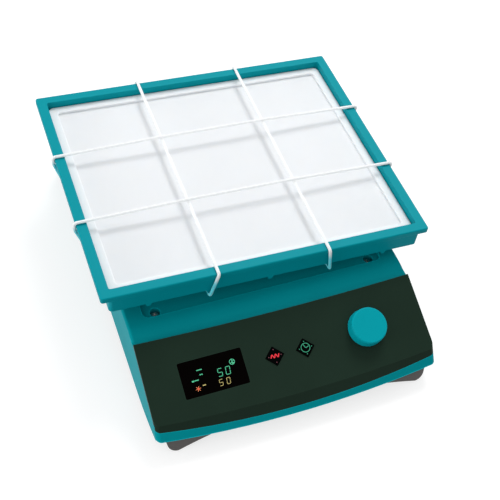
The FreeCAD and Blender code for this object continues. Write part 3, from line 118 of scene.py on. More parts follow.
class Wiring:
    """A node tree that is written as expressions: each call adds a node and gives its signal."""

    def __init__(self, tree):
        self.tree = tree

    def node(self, kind, settings=None, inputs=None, output=0):
        made = self.tree.nodes.new(kind)
        for key, value in (settings or {}).items():
            setattr(made, key, value)
        for key, value in (inputs or {}).items():
            self.feed(made.inputs[key], value)
        return Signal(self, made.outputs[output])

    def feed(self, socket, value):
        if isinstance(value, Signal):
            self.tree.links.new(value.socket, socket)
        elif isinstance(value, list):
            for each in value:
                self.feed(socket, each)
        elif socket.type == "RGBA" and len(value) == 3:
            socket.default_value = (*value, 1)
        else:
            socket.default_value = value

    def blend(self, factor, first, second):
        """The first colour where the factor is 0, and the second where it is 1."""
        return self.node("ShaderNodeMix", {"data_type": "RGBA"}, {0: factor, 6: first, 7: second},
                         output=2)

    def sees_background(self):
        """1 on the rays that show the background: to the camera, off a shiny face or through glass."""
        rays = [self.node("ShaderNodeLightPath", output="Is " + kind + " Ray")
                for kind in ("Camera", "Glossy", "Transmission")]
        return sum(rays).between(0.0, 1.0)


class Finish(Wiring):
    """One material: a shader, the signals that vary it, and the constants on its own sockets."""

    def __init__(self, name, **constants):
        self.material = bpy.data.materials.new(name)
        self.material.use_nodes = True
        super().__init__(self.material.node_tree)
        self.shader = self.tree.nodes["Principled BSDF"]
        self.set(**constants)

    def set(self, **values):
        for key, value in values.items():
            self.feed(self.shader.inputs[key.replace("_", " ")], value)

    def place(self):
        return self.node("ShaderNodeTexCoord", output="Object")

    def axis(self, letter):
        return self.node("ShaderNodeSeparateXYZ", inputs={0: self.place()}, output=letter)

    def noise(self, scale, detail=3, stretch=None):
        where = self.place()
        if stretch:
            where = self.node("ShaderNodeMapping", inputs={"Vector": where, "Scale": stretch})
        return self.node("ShaderNodeTexNoise", output="Fac", inputs={
            "Vector": where, "Scale": scale, "Detail": detail})

    def grains(self, scale):
        return self.node("ShaderNodeTexVoronoi", {"feature": "F1"},
                         {"Vector": self.place(), "Scale": scale}, output="Distance")

    def ribs(self, direction, where, scale, distortion, detail=2.0):
        return self.node("ShaderNodeTexWave", {"bands_direction": direction}, {
            "Vector": where, "Scale": scale, "Distortion": distortion, "Detail": detail}, output="Fac")

    def bump(self, height, distance, strength):
        self.set(Normal=self.node("ShaderNodeBump", inputs={
            "Height": height, "Distance": distance, "Strength": strength}))

    def worn_and_highlit_edges(self, reach):
        """1 on outer edges and 0 on the faces between them: it compares the normal, rounded over the
        reach, with the plain one. Finishes paint highlights along the edges with it, and lower the
        roughness there where wear polishes them."""
        corner = self.node("ShaderNodeBevel", {"samples": 4}, {"Radius": reach}, output="Normal")
        plain = self.node("ShaderNodeNewGeometry", output="Normal")
        agree = self.node("ShaderNodeVectorMath", {"operation": "DOT_PRODUCT"}, {0: corner, 1: plain},
                          output="Value")
        sharp, flat = 0.80, 0.995
        return 1 - agree.between(sharp, flat)


def shade(colour, factor):
    return tuple(min(part * factor, 1) for part in colour)


# Finishes. Scales are per metre. Grain, depth and reach are in metres.

def moulded_plastic(name, colour, roughness, grain=0.00002, shine=0.05, edge_highlight=0.15, reach=0.0006):
    """Plastic out of a polished or finely eroded mould: slight cloudiness and a fine grain."""
    mottle, highlight_gain, grain_scale = 0.05, 2.2, 1400
    finish = Finish(name, IOR=1.49, Specular_IOR_Level=shine)
    cloud = finish.noise(26, 4)
    edge = finish.worn_and_highlit_edges(reach)
    body = finish.blend(cloud, shade(colour, 1 - mottle), shade(colour, 1 + mottle))
    finish.set(
        # Painted highlight: the edges are made paler, as if light caught them.
        Base_Color=finish.blend(edge * edge_highlight, body, shade(colour, highlight_gain)),
        Roughness=roughness + (finish.noise(90, 5) - 0.5) * 0.10 - edge * 0.04,
    )
    finish.bump(finish.noise(grain_scale, 2) + cloud * 0.2, grain, 0.5)
    return finish.material


def textured_plastic(name, colour, roughness, grain_scale=1500, shine=0.08):
    """Plastic with the fine pebbled grain that hides fingerprints."""
    dark, light, highlight_gain, edge_highlight = 0.82, 1.20, 2.1, 0.5
    finish = Finish(name, IOR=1.47, Specular_IOR_Level=shine)
    pebble = finish.grains(grain_scale)
    cloud = finish.noise(18, 4)
    edge = finish.worn_and_highlit_edges(0.0009)
    body = finish.blend(cloud, shade(colour, dark), shade(colour, light))
    finish.set(
        # Painted highlight: the edges are made paler, as if light caught them.
        Base_Color=finish.blend(edge * edge_highlight, body, shade(colour, highlight_gain)),
        Roughness=roughness + (finish.noise(60, 4) - 0.5) * 0.16,
    )
    finish.bump(pebble + finish.noise(grain_scale * 0.6, 2) * 0.6, 0.00006, 0.55)
    return finish.material


def silicone_mat(name, colour):
    """Soft white matting: very fine cross-laid ribs and faint soiling."""
    rib_scale, soiled = 420.0, 0.965
    finish = Finish(name, Subsurface_Weight=1.0, Subsurface_Scale=0.003,
                    Subsurface_Radius=(1.0, 0.95, 0.9), IOR=1.41, Specular_IOR_Level=0.2)
    cloud = finish.noise(9, 5)
    finish.set(
        Base_Color=finish.blend(cloud.between(0.35, 0.75), colour, shade(colour, soiled)),
        Roughness=0.62 + (finish.noise(120, 3) - 0.5) * 0.12,
    )
    along, across = (finish.ribs(letter, finish.place(), rib_scale, 0.4) for letter in "XY")
    finish.bump(along * across + finish.noise(900, 2) * 0.3, 0.00008, 0.35)
    return finish.material


def soft_rubber(name, colour, roughness):
    """Moulded black rubber with a chalky bloom."""
    chalky = 2.2
    finish = Finish(name, IOR=1.5, Specular_IOR_Level=0.3)
    bloom = finish.noise(160, 5)
    finish.set(
        Base_Color=finish.blend(bloom.between(0.45, 0.8), colour, shade(colour, chalky)),
        Roughness=roughness + (bloom - 0.5) * 0.2,
    )
    finish.bump(finish.noise(1200, 3), 0.00005, 0.6)
    return finish.material


def elastic_braid(name, colour, reflected_teal, rim_height, lean):
    """White braided elastic: fine oblique strands that catch the light, with painted shade in the gaps
    between them. The ends that hang under the tray's rim are painted teal, a painted reflection of
    the teal tray on them. The rim leans by that much per metre to the right."""
    strand_scale, gap, reflected_from, reflected_to = 420.0, 0.90, 0.002, 0.011
    finish = Finish(name, Sheen_Weight=0.4, Sheen_Roughness=0.4, Specular_IOR_Level=0.2,
                    Subsurface_Weight=1.0, Subsurface_Scale=0.003, Subsurface_Radius=(1.0, 1.0, 1.0))
    where = finish.place()
    strands = []
    for turn in (0.7, -0.7):
        oblique = finish.node("ShaderNodeMapping", inputs={
            "Vector": where, "Rotation": (turn, turn, turn)})
        strands.append(finish.ribs("DIAGONAL", oblique, strand_scale, 1.5, 1.0))
    braid = strands[0] * strands[1]
    height = finish.axis("Z") + finish.axis("X") * lean
    # Painted reflection: below the rim the cords' ends take the teal that the tray throws on them.
    over_rim = height.between(rim_height - reflected_to, rim_height - reflected_from)
    # Painted shade: the gaps between the strands are made darker.
    white = finish.blend(braid, shade(colour, gap), colour)
    finish.set(
        Base_Color=finish.blend(over_rim, reflected_teal, white),
        Roughness=0.78 - braid * 0.12,
    )
    finish.bump(braid + finish.noise(2500, 2) * 0.3, 0.00008, 0.5)
    return finish.material


def bright_metal(name, colour, roughness, scale, brush=(1, 1, 1)):
    """Ground, turned or rolled metal with its tool marks."""
    dull, bright = 0.88, 1.05
    finish = Finish(name, Metallic=1.0)
    marks = finish.noise(scale, 4, brush)
    patches = finish.noise(35, 4)
    edge = finish.worn_and_highlit_edges(0.0004)
    finish.set(
        Base_Color=finish.blend(patches, shade(colour, dull), shade(colour, bright)),
        Roughness=roughness + (marks - 0.5) * 0.22 + (patches - 0.5) * 0.08 - edge * 0.06,
    )
    finish.bump(marks, 0.000008, 0.6)
    return finish.material


def zinc_sheet(name):
    """Zinc plated sheet with its large faint spangle."""
    finish = Finish(name, Metallic=1.0)
    spangle = finish.grains(140)
    cloud = finish.noise(60, 3)
    finish.set(
        Base_Color=finish.blend(spangle.between(0.1, 0.8), (0.50, 0.52, 0.55), (0.66, 0.67, 0.69)),
        Roughness=0.34 + (cloud - 0.5) * 0.2 + spangle * 0.08,
    )
    finish.bump(spangle + cloud, 0.00001, 0.4)
    return finish.material


def enamel(name, colour):
    """Enamelled steel with a slight orange peel."""
    highlight_gain, edge_highlight = 2.5, 0.4
    finish = Finish(name, Coat_Weight=0.3, Coat_Roughness=0.2)
    edge = finish.worn_and_highlit_edges(0.0007)
    finish.set(
        # Painted highlight: the edges are made paler, as if light caught them.
        Base_Color=finish.blend(edge * edge_highlight, colour, shade(colour, highlight_gain)),
        Roughness=0.35 + (finish.noise(70, 3) - 0.5) * 0.12,
    )
    finish.bump(finish.noise(380, 2), 0.00004, 0.4)
    return finish.material


def solder_mask(name):
    """A circuit board: green lacquer over copper tracks."""
    black, white = (0.0, 0.0, 0.0), (1.0, 1.0, 1.0)
    finish = Finish(name, Coat_Weight=0.4, Coat_Roughness=0.15)
    tracks = finish.node("ShaderNodeTexBrick", {"offset": 0.5}, {
        "Vector": finish.place(), "Scale": 160.0, "Mortar Size": 0.03,
        "Color1": black, "Color2": black, "Mortar": white}, output="Fac")
    cloud = finish.noise(40, 3)
    lacquer = finish.blend(cloud, (0.010, 0.085, 0.035), (0.016, 0.12, 0.05))
    finish.set(
        Base_Color=finish.blend(tracks * 0.7, lacquer, (0.03, 0.20, 0.08)),
        Roughness=0.36 + (cloud - 0.5) * 0.1,
    )
    finish.bump(tracks, 0.00003, 0.5)
    return finish.material


def dark_glass(name):
    """The display's window: near-black, polished, with a few faint wipe marks."""
    finish = Finish(name, IOR=1.5, Specular_IOR_Level=0.005)
    wipes = finish.noise(14, 5, (1, 4, 1))
    finish.set(
        Base_Color=finish.blend(wipes, (0.0009, 0.0005, 0.0004), (0.0018, 0.0011, 0.0009)),
        Roughness=0.10 + wipes.between(0.5, 0.8) * 0.10,
    )
    return finish.material


def lit_mark(name, colour):
    """Lit segments, a little uneven: they glow in their colour and are nearly black themselves."""
    finish = Finish(name, Emission_Strength=1.0, Roughness=0.4)
    flicker = finish.noise(2200, 2)
    finish.set(
        Base_Color=finish.blend(flicker, shade(colour, 0.04), shade(colour, 0.06)),
        Emission_Color=finish.blend(flicker, shade(colour, 0.86), colour),
    )
    return finish.material


TEAL = (0.0, 0.298, 0.342)
TEAL_TRAY = (0.0, 0.282, 0.335)
TEAL_KNOB = (0.0, 0.340, 0.400)
CONSOLE = (0.0130, 0.0280, 0.0185)
PAN_GREY = (0.150, 0.143, 0.138)
MAT_WHITE = (0.845, 0.865, 0.885)
CORD_WHITE = (0.95, 0.96, 0.97)
# Painted reflection: the teal of the tray on the cords' hanging ends.
CORD_TEAL_REFLECTION = (0.12, 0.62, 0.72)
KEY_BLACK = (0.0012, 0.0012, 0.0013)
RIM_HEIGHT = 0.0900
TRAY_LEAN = math.tan(math.radians(2.3))

FINISHES = {
    # The housing's edges take a strong painted highlight: pale lines along the deck's front edge and
    # round its recess.
    "teal_housing": moulded_plastic("teal_housing_plastic", TEAL, 0.46, shine=0.03, edge_highlight=0.85,
                                    reach=0.0012),
    "teal_tray": moulded_plastic("teal_tray_plastic", TEAL_TRAY, 0.46),
    "teal_knob": moulded_plastic("teal_knob_plastic", TEAL_KNOB, 0.46, grain=0.00003, edge_highlight=0.05),
    "console_dark": textured_plastic("console_grain", CONSOLE, 0.36, shine=0.04),
    "pan_grey": textured_plastic("pan_grain", PAN_GREY, 0.55, grain_scale=1100),
    "mat_white": silicone_mat("mat_silicone", MAT_WHITE),
    "cord_elastic": elastic_braid("cord_braid", CORD_WHITE, CORD_TEAL_REFLECTION, RIM_HEIGHT, TRAY_LEAN),
    "foot_rubber": soft_rubber("foot_rubber", (0.014, 0.014, 0.014), 0.7),
    "belt_rubber": soft_rubber("belt_rubber", (0.016, 0.016, 0.017), 0.6),
    "screw_steel": bright_metal("screw_steel", (0.58, 0.58, 0.57), 0.32, 700),
    "zinc_steel": zinc_sheet("zinc_sheet"),
    "bearing_steel": bright_metal("ground_steel", (0.62, 0.62, 0.63), 0.22, 900, (1, 0.05, 1)),
    "spring_steel": bright_metal("blued_steel", (0.16, 0.17, 0.22), 0.30, 500),
    "cast_alloy": bright_metal("milled_alloy", (0.60, 0.61, 0.62), 0.38, 260, (1, 12, 1)),
    "motor_black": enamel("motor_enamel", (0.022, 0.022, 0.023)),
    "bush_bronze": bright_metal("sintered_bronze", (0.55, 0.36, 0.17), 0.45, 1500),
    "display_glass": dark_glass("display_glass"),
    "board_green": solder_mask("board_lacquer"),
    "supply_board": solder_mask("supply_lacquer"),
    "module_black": textured_plastic("module_plastic", (0.016, 0.016, 0.017), 0.45, grain_scale=1800),
    "key_black": moulded_plastic("key_plastic", KEY_BLACK, 0.24, grain=0.00001, shine=0.01),
    "inlet_black": textured_plastic("inlet_plastic", (0.013, 0.013, 0.013), 0.48, grain_scale=1300),
    "rocker_black": moulded_plastic("rocker_plastic", (0.012, 0.012, 0.013), 0.28, grain=0.00001),
}


def dress_parts():
    """Every part gets the finish of its slot."""
    for name, part in NODES.items():
        if not part.material_slots:
            part.data.materials.append(None)
        for place in part.material_slots:
            place.material = FINISHES[SLOTS[name]]


# Meshes and pieces

def body_of(node):
    """The moving body that a part belongs to."""
    bodies = frame["record"]["behaviour"]["bodies"]
    return next(name for name, members in bodies.items() if node in members)


def new_piece(name, mesh, body):
    """Links a finished mesh as a piece that rides with a body."""
    piece = link_object(name, mesh)
    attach(piece, body)
    return piece


def stand_in(name, mesh, node):
    """Links a finished mesh as the piece that stands for a part and rides with it."""
    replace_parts(new_piece(name, mesh, body_of(node)), node)


def joined_copy(node):
    """The part's faces with their loose triangles joined up."""
    made = bmesh.new()
    made.from_mesh(NODES[node].data)
    bmesh.ops.remove_doubles(made, verts=made.verts, dist=1e-6)
    bmesh.ops.dissolve_degenerate(made, edges=made.edges, dist=1e-7)
    bmesh.ops.dissolve_limit(made, angle_limit=math.radians(0.4), verts=made.verts,
                             edges=made.edges, use_dissolve_boundaries=False)
    return made


def add_prism(shape, first, last):
    """A closed prism between two outlines that have as many corners as each other."""
    near, far = ([shape.verts.new(corner) for corner in outline] for outline in (first, last))
    shape.faces.new(near)
    shape.faces.new(reversed(far))
    for number in range(len(near)):
        before = number - 1
        shape.faces.new([near[before], far[before], far[number], near[number]])
    bmesh.ops.recalc_face_normals(shape, faces=shape.faces)


def mesh_of(shape, name, finish=None):
    """The shape as a mesh. The shape itself is freed."""
    mesh = bpy.data.meshes.new(name)
    shape.to_mesh(mesh)
    shape.free()
    if finish:
        mesh.materials.append(finish)
    return mesh


def finished_mesh(holder):
    """The holder's mesh with its modifiers worked in. The holder itself goes."""
    ready = holder.evaluated_get(bpy.context.evaluated_depsgraph_get())
    finished = bpy.data.meshes.new_from_object(ready)
    finished.name = holder.name
    bpy.data.objects.remove(holder)
    return finished


# Moulded pieces: the parts again with their edges broken as the tool leaves them.
# Edge radii, and the front corners, are in millimetres.

SOFT_EDGES = {
    "housing": 0.5, "console_cover": 0.4, "base_pan": 0.6, "tray": 0.25, "tray_mat": 0.5, "knob": 0.3,
    "key_start": 0.15, "key_timer": 0.15, "display_window": 0.12, "power_inlet": 0.3,
    "switch_frame": 0.3, "power_rocker": 0.3, "rubber_feet": 0.4, "carrier_arm_front": 0.4,
    "carrier_arm_rear": 0.4, "carrier_plate": 0.25, "chassis_plate": 0.25,
    "bearing_block_front": 0.3, "bearing_block_rear": 0.3, "crank_block": 0.3, "motor": 0.4,
    "motor_bracket": 0.25, "rocker_lever": 0.3, "connecting_rod": 0.3,
}
ROUND_CORNERS = ("housing", "console_cover")
EDGE_STEPS = 3
SHARP_FROM = math.radians(28)

# The left front corner's edge leans from low to high. The right one mirrors it about the middle.
CORNER_LOW = Vector((-115.16, -154.55, 18.98))
CORNER_HIGH = Vector((-114.79, -147.34, 30.77))
CORNER_ENDS = (-0.8, 1.6)
BASE_MIDDLE = -1.91
FRONT_BOW = math.radians(5.8)
CORNER_RADIUS = 5.0
CORNER_STEPS = 8
CUTTER_REACH = 6


def corner_cutter():
    """What is milled off the two front corners of the housing and its console. The outline is
    measured from the corner's edge, and the cutter runs past both ends of that edge."""
    radius = CORNER_RADIUS
    start = radius / math.tan((math.pi / 2 + FRONT_BOW) / 2)
    turns = [math.pi + (math.pi / 2 - FRONT_BOW) * number / CORNER_STEPS
             for number in range(CORNER_STEPS + 1)]
    outline = [(radius + radius * math.cos(angle), start + radius * math.sin(angle))
               for angle in turns]
    outline += [(outline[-1][0], -CUTTER_REACH), (-CUTTER_REACH, -CUTTER_REACH),
                (-CUTTER_REACH, outline[0][1])]
    shape = bmesh.new()
    for side in (1, -1):
        ends = [CORNER_LOW.lerp(CORNER_HIGH, share) for share in CORNER_ENDS]
        add_prism(shape, *([Vector((BASE_MIDDLE + side * (end.x + x), end.y + y, end.z)) * MM
                            for x, y in outline] for end in ends))
    return link_object("corner_cutter", mesh_of(shape, "corner_cutter"))


def soft_edged(node, edge, cutter):
    """A part whose outer edges are rounded by a small radius, with its flat faces kept flat."""
    mesh = mesh_of(joined_copy(node), node + "_plain", FINISHES[SLOTS[node]])
    mesh.shade_smooth()
    holder = link_object(node + "_shaped", mesh)
    if node in ROUND_CORNERS:
        cut = holder.modifiers.new("front_corners", "BOOLEAN")
        cut.operation = "DIFFERENCE"
        cut.object = cutter
    rounding = holder.modifiers.new("edge_radius", "BEVEL")
    rounding.width = edge * MM
    rounding.segments = EDGE_STEPS
    rounding.limit_method = "ANGLE"
    rounding.angle_limit = SHARP_FROM
    rounding.miter_outer = "MITER_ARC"
    flat = holder.modifiers.new("flat_faces", "WEIGHTED_NORMAL")
    flat.weight = 100
    flat.keep_sharp = True
    stand_in(node + "_shaped", finished_mesh(holder), node)


def soften_edges():
    cutter = corner_cutter()
    for node, edge in SOFT_EDGES.items():
        soft_edged(node, edge, cutter)
    bpy.data.objects.remove(cutter)


# Marks on the console: flat outlines in millimetres, to the right and up the slope

KNOB_MIDDLE = (65, -33.2, 5)
DISPLAY_MIDDLE = (-61.8, -36, 0)
KEY_MIDDLES = {"key_start": (-12.6, -35.7, 0), "key_timer": (12.6, -35.7, 0)}
KEY_PROUD = 0.8
MARK_PROUD = 0.03


def console_frame(middle):
    """The console's own frame, moved to a middle. It starts in the middle of the console's upper
    edge, with Y up the slope."""
    joints = frame["record"]["behaviour"]["joints"]
    knob = next(joint for joint in joints if joint["name"] == "knob_turn")
    slope = Matrix.Rotation(math.acos(knob["axis"][2]), 4, "X")
    corner = Matrix.Translation(knob["pos_m"]) @ slope @ Matrix.Translation(Vector(KNOB_MIDDLE) * -MM)
    return corner @ Matrix.Translation(Vector(middle) * MM)


def turned(points, angle=0.0, middle=(0, 0), lean=0.0):
    """Points leant over, turned about the origin and then moved to a middle."""
    cos, sin = math.cos(angle), math.sin(angle)
    return [
        (middle[0] + (x + y * lean) * cos - y * sin, middle[1] + (x + y * lean) * sin + y * cos)
        for x, y in points
    ]


def bar(middle, width, height, angle=0.0):
    half_width, half_height = width / 2, height / 2
    return turned([(-half_width, -half_height), (half_width, -half_height),
                   (half_width, half_height), (-half_width, half_height)], angle, middle)


def disc(middle, radius, steps):
    return [
        (middle[0] + radius * math.cos(angle), middle[1] + radius * math.sin(angle))
        for angle in (number * math.tau / steps for number in range(steps))
    ]


def ribbon(points, width):
    """A line of even width through points, as one four-sided face per stretch."""
    sides = []
    for number, point in enumerate(points):
        before, after = points[max(number - 1, 0)], points[min(number + 1, len(points) - 1)]
        run, rise = after[0] - before[0], after[1] - before[1]
        half = width / 2 / math.hypot(run, rise)
        sides.append(((point[0] + rise * half, point[1] - run * half),
                      (point[0] - rise * half, point[1] + run * half)))
    return [[low, next_low, next_high, high]
            for (low, high), (next_low, next_high) in zip(sides, sides[1:])]


def ring(middle, radius, width):
    around = disc(middle, radius, 32)
    return ribbon(around + around[:1], width)


SEGMENTS = {
    "top": ((0, 1), (1, 1)), "upper_right": ((1, 1), (1, 0.5)), "lower_right": ((1, 0.5), (1, 0)),
    "bottom": ((1, 0), (0, 0)), "lower_left": ((0, 0), (0, 0.5)), "upper_left": ((0, 0.5), (0, 1)),
    "middle": ((0, 0.5), (1, 0.5)),
}
FIGURES = {
    "5": ("top", "upper_left", "middle", "lower_right", "bottom"),
    "0": ("top", "upper_right", "lower_right", "bottom", "lower_left", "upper_left"),
}
FIGURE_SHAPE = {"width": 0.56, "gap": 0.25, "lean": 0.10}


def figures(text, middle, height, pitch, stroke):
    """Seven-segment figures, a little slanted: each segment is a bar with pointed ends."""
    width = height * FIGURE_SHAPE["width"]
    shapes = []
    for place, letter in enumerate(text):
        left = (place - (len(text) - 1) / 2) * pitch - width / 2
        for segment in FIGURES[letter]:
            start, end = (Vector((left + x * width, (y - 0.5) * height)) for x, y in SEGMENTS[segment])
            along = (end - start).normalized()
            across = Vector((-along.y, along.x)) * stroke / 2
            gap = along * stroke * FIGURE_SHAPE["gap"]
            start, end = start + gap, end - gap
            tip = along * stroke / 2
            points = [start, start + tip - across, end - tip - across, end, end - tip + across,
                      start + tip + across]
            shapes.append(turned(points, middle=middle, lean=FIGURE_SHAPE["lean"]))
    return shapes


def mark(name, node, finish, shapes, place, height=0.0):
    """Thin marks let into a part's face, which stand slightly proud of it. The place's own frame
    says where the outlines lie."""
    shape = bmesh.new()
    for outline in shapes:
        add_prism(shape, *([place @ (Vector((x, y, level)) * MM) for x, y in outline]
                           for level in (height + MARK_PROUD, height - MARK_PROUD)))
    new_piece(name, mesh_of(shape, name, finish), body_of(node))


# The display: the middle, height, pitch and stroke of the two settings, and the middle, width and
# height of the bars that stand for their legends
SPEED_SETTING = ((8.1, -0.6), 5.8, 6.2, 0.42)
ANGLE_SETTING = ((6.6, -8.1), 4.6, 5.8, 0.34)
SPEED_LEGENDS = (
    ((-9.9, 5.3), 4.3, 0.6), ((-10.1, 1.6), 0.8, 0.8), ((-8.6, 1.6), 0.8, 0.8),
    ((-9.3, 1.8), 1.2, 0.4), ((-16.6, -1.9), 1.7, 1.1), ((-13.8, -1.8), 3.3, 0.7),
)
ANGLE_LEGEND = ((-9.1, -6.6), 2.5, 0.7)
SAFETY_SIGN = (16.0, 4.8)
MOTION_SIGN = (-14.2, -8.2)
MOTION_ARM = ((0.4, -0.2), (2.1, 0.15), (1.8, 0.5), (0.4, 0.2))


def mark_display():
    """The lit figures and signs in the window: two settings, their legends and two signs."""
    face = console_frame(DISPLAY_MIDDLE)
    green = lit_mark("lit_green", (0.075, 0.62, 0.32))
    yellow = lit_mark("lit_yellow", (0.62, 0.52, 0.17))
    orange = lit_mark("lit_orange", (0.90, 0.26, 0.09))
    red = lit_mark("lit_red", (0.90, 0.07, 0.03))
    cross = [bar(SAFETY_SIGN, 3.6, 0.45, math.radians(angle)) for angle in (35, 95)]
    arms = [turned(MOTION_ARM, number * math.tau / 6, MOTION_SIGN) for number in range(6)]
    mark("speed_figures", "display_window", green, figures("50", *SPEED_SETTING), face)
    mark("angle_figures", "display_window", yellow, figures("50", *ANGLE_SETTING), face)
    mark("speed_legends", "display_window", green, [bar(*legend) for legend in SPEED_LEGENDS], face)
    mark("angle_legend", "display_window", yellow, [bar(*ANGLE_LEGEND)], face)
    mark("safety_sign", "display_window", green,
         ring(SAFETY_SIGN, 2.0, 0.4) + cross + [bar((16.8, 3.8), 1.4, 0.7)], face, 0.01)
    mark("motion_sign", "display_window", orange, arms, face)
    mark("motion_sign_hub", "display_window", red, [disc(MOTION_SIGN, 0.7, 24)], face, 0.02)


# The keys: a wave and a clock
WAVE_HEIGHT, WAVE_LENGTH, WAVE_STROKE = 1.2, 3.0, 0.8
CLOCK_RADIUS, CLOCK_STROKE, HAND_STROKE = 3.5, 0.5, 0.55
LONG_HAND = ((-1.2, 2.8), (0, 0))
SHORT_HAND = ((0.1, -0.2), (2.7, 0.7))
POINT_REACH, POINT_RADIUS = 5.0, 0.36


def mark_keys():
    """The lit sign on each key's face and the four small points round it."""
    red = lit_mark("key_lit_red", (0.86, 0.012, 0.030))
    dim_red = lit_mark("key_dim_red", (0.19, 0.030, 0.055))
    green = lit_mark("key_lit_green", (0.020, 0.34, 0.18))
    wave = [(x / 10, WAVE_HEIGHT * math.sin(x / 10 * math.tau / WAVE_LENGTH))
            for x in range(-36, 37, 2)]
    clock = (ring((0, 0), CLOCK_RADIUS, CLOCK_STROKE) + ribbon(LONG_HAND, HAND_STROKE)
             + ribbon(SHORT_HAND, HAND_STROKE))
    points = [disc(middle, POINT_RADIUS, 12) for middle in disc((0, 0), POINT_REACH, 4)]
    signs = {"key_start": (ribbon(wave, WAVE_STROKE), red, dim_red),
             "key_timer": (clock, green, green)}
    for node, (shapes, bright, dim) in signs.items():
        face = console_frame(KEY_MIDDLES[node])
        sign = node.replace("key", "sign")
        mark(sign, node, bright, shapes, face, KEY_PROUD)
        mark(sign + "_points", node, dim, points, face, KEY_PROUD)


# Screws: one pattern of nodes puts a cross-recessed screw at each place

class Pattern(Wiring):
    """A tree of geometry nodes with named inputs."""

    def __init__(self, name, **inputs):
        super().__init__(bpy.data.node_groups.new(name, "GeometryNodeTree"))
        self.tree.interface.new_socket(name="Geometry", in_out="OUTPUT",
                                       socket_type="NodeSocketGeometry")
        self.sockets = {}
        for key, kind in {"Geometry": "Geometry", **inputs}.items():
            self.sockets[key] = self.tree.interface.new_socket(
                name=key, in_out="INPUT", socket_type="NodeSocket" + kind).identifier
        self.given = self.tree.nodes.new("NodeGroupInput")
        self.result = self.tree.nodes.new("NodeGroupOutput")

    def take(self, key):
        return Signal(self, self.given.outputs[key])

    def vector(self, x=0.0, y=0.0, z=0.0):
        return self.node("ShaderNodeCombineXYZ", inputs={0: x, 1: y, 2: z})

    def moved(self, shape, place, turn=(0, 0, 0)):
        return self.node("GeometryNodeTransform", inputs={
            "Geometry": shape, "Translation": place, "Rotation": turn})


def screw_pattern():
    """A pan head with a cross recess on its shank, at each point, head upwards before its turn."""
    head_sides, shank_sides = 40, 24
    crown_width, recess_length, recess_width, recess_height = 0.72, 1.15, 0.26, 1.2
    pattern = Pattern("screws", Head="Float", Height="Float", Shank="Float", Length="Float",
                      Turn="Vector", Finish="Material")
    head, height, shank, length = (
        pattern.take(key) for key in ("Head", "Height", "Shank", "Length"))
    side = pattern.moved(pattern.node("GeometryNodeMeshCylinder", inputs={
        "Vertices": head_sides, "Radius": head, "Depth": height * 0.5}),
        pattern.vector(z=height * 0.25))
    crown = pattern.moved(pattern.node("GeometryNodeMeshCone", inputs={
        "Vertices": head_sides, "Radius Top": head * crown_width, "Radius Bottom": head,
        "Depth": height * 0.5}), pattern.vector(z=height * 0.5))
    recess = pattern.vector(head * recess_length, head * recess_width, height * recess_height)
    arms = [
        pattern.moved(pattern.node("GeometryNodeMeshCube", inputs={"Size": recess}),
                      pattern.vector(z=height), (0, 0, quarter)) for quarter in (0, math.pi / 2)]
    solid = pattern.node("GeometryNodeMeshBoolean", {"operation": "UNION"},
                         {"Mesh 2": [side, crown]})
    capped = pattern.node("GeometryNodeMeshBoolean", {"operation": "DIFFERENCE"}, {
        "Mesh 1": solid, "Mesh 2": arms})
    stem = pattern.moved(pattern.node("GeometryNodeMeshCylinder", inputs={
        "Vertices": shank_sides, "Radius": shank, "Depth": length}),
        pattern.vector(z=length * -0.5))
    screw = pattern.node("GeometryNodeJoinGeometry", inputs={"Geometry": [capped, stem]})
    placed = pattern.node("GeometryNodeInstanceOnPoints", inputs={
        "Points": pattern.take("Geometry"), "Instance": screw, "Rotation": pattern.take("Turn")})
    joined = pattern.node("GeometryNodeRealizeInstances", inputs={"Geometry": placed})
    painted = pattern.node("GeometryNodeSetMaterial", inputs={
        "Geometry": joined, "Material": pattern.take("Finish")})
    pattern.feed(pattern.result.inputs["Geometry"], painted)
    return pattern


def islands(node):
    """The separate solids of a part: the lowest and highest corner of each."""
    shape = joined_copy(node)
    found, reached = [], set()
    for first in shape.verts:
        if first in reached:
            continue
        reached.add(first)
        group = [first]
        for vert in group:
            for edge in vert.link_edges:
                other = edge.other_vert(vert)
                if other not in reached:
                    reached.add(other)
                    group.append(other)
        found.append(tuple(Vector([pick(vert.co[axis] for vert in group) for axis in range(3)])
                           for pick in (min, max)))
    shape.free()
    return found


# Head height and shank radius in millimetres, and whether the head is on top
CROSS_SCREWS = {
    "deck_screws": (2.5, 2, True), "feet_screws": (1.6, 1.5, False),
    "chassis_screws": (1.6, 1.5, True), "frame_screws": (1.6, 1.5, True),
}


def cross_screws(pattern, node, height, shank, upwards):
    """The upright screws of a part, with their cross recesses."""
    mesh = bpy.data.meshes.new(node + "_places")
    boxes = islands(node)
    seats = []
    for low, high in boxes:
        middle = (low + high) / 2
        seats.append((middle.x, middle.y, high.z - height if upwards else low.z + height))
    mesh.from_pydata(seats, [], [])
    holder = link_object(node + "_cut", mesh)
    low, high = boxes[0]
    values = {"Head": (high.x - low.x) / 2, "Height": height, "Shank": shank,
              "Length": high.z - low.z - height, "Turn": (0.0 if upwards else math.pi, 0.0, 0.0),
              "Finish": FINISHES[SLOTS[node]]}
    step = holder.modifiers.new("screws", "NODES")
    step.node_group = pattern.tree
    for key, value in values.items():
        step[pattern.sockets[key]] = value
    stand_in(node + "_cut", finished_mesh(holder), node)


def cut_screws():
    pattern = screw_pattern()
    for node, (height, shank, upwards) in CROSS_SCREWS.items():
        cross_screws(pattern, node, height * MM, shank * MM, upwards)


# Rear wall: bare metal pins in the inlet and the marks on the mains switch.
# The pins' depths are in millimetres in from the wall, and their places are from the inlet's middle.

PIN_DEPTHS = (25.9, 4.45)
PIN_SIZE = (2.1, 4.5)
PIN_PLACES = ((-7, -2), (0, 2), (7, -2))
ON_BAR = (0.8, 3.4)
OFF_RING = (1.5, 0.6)


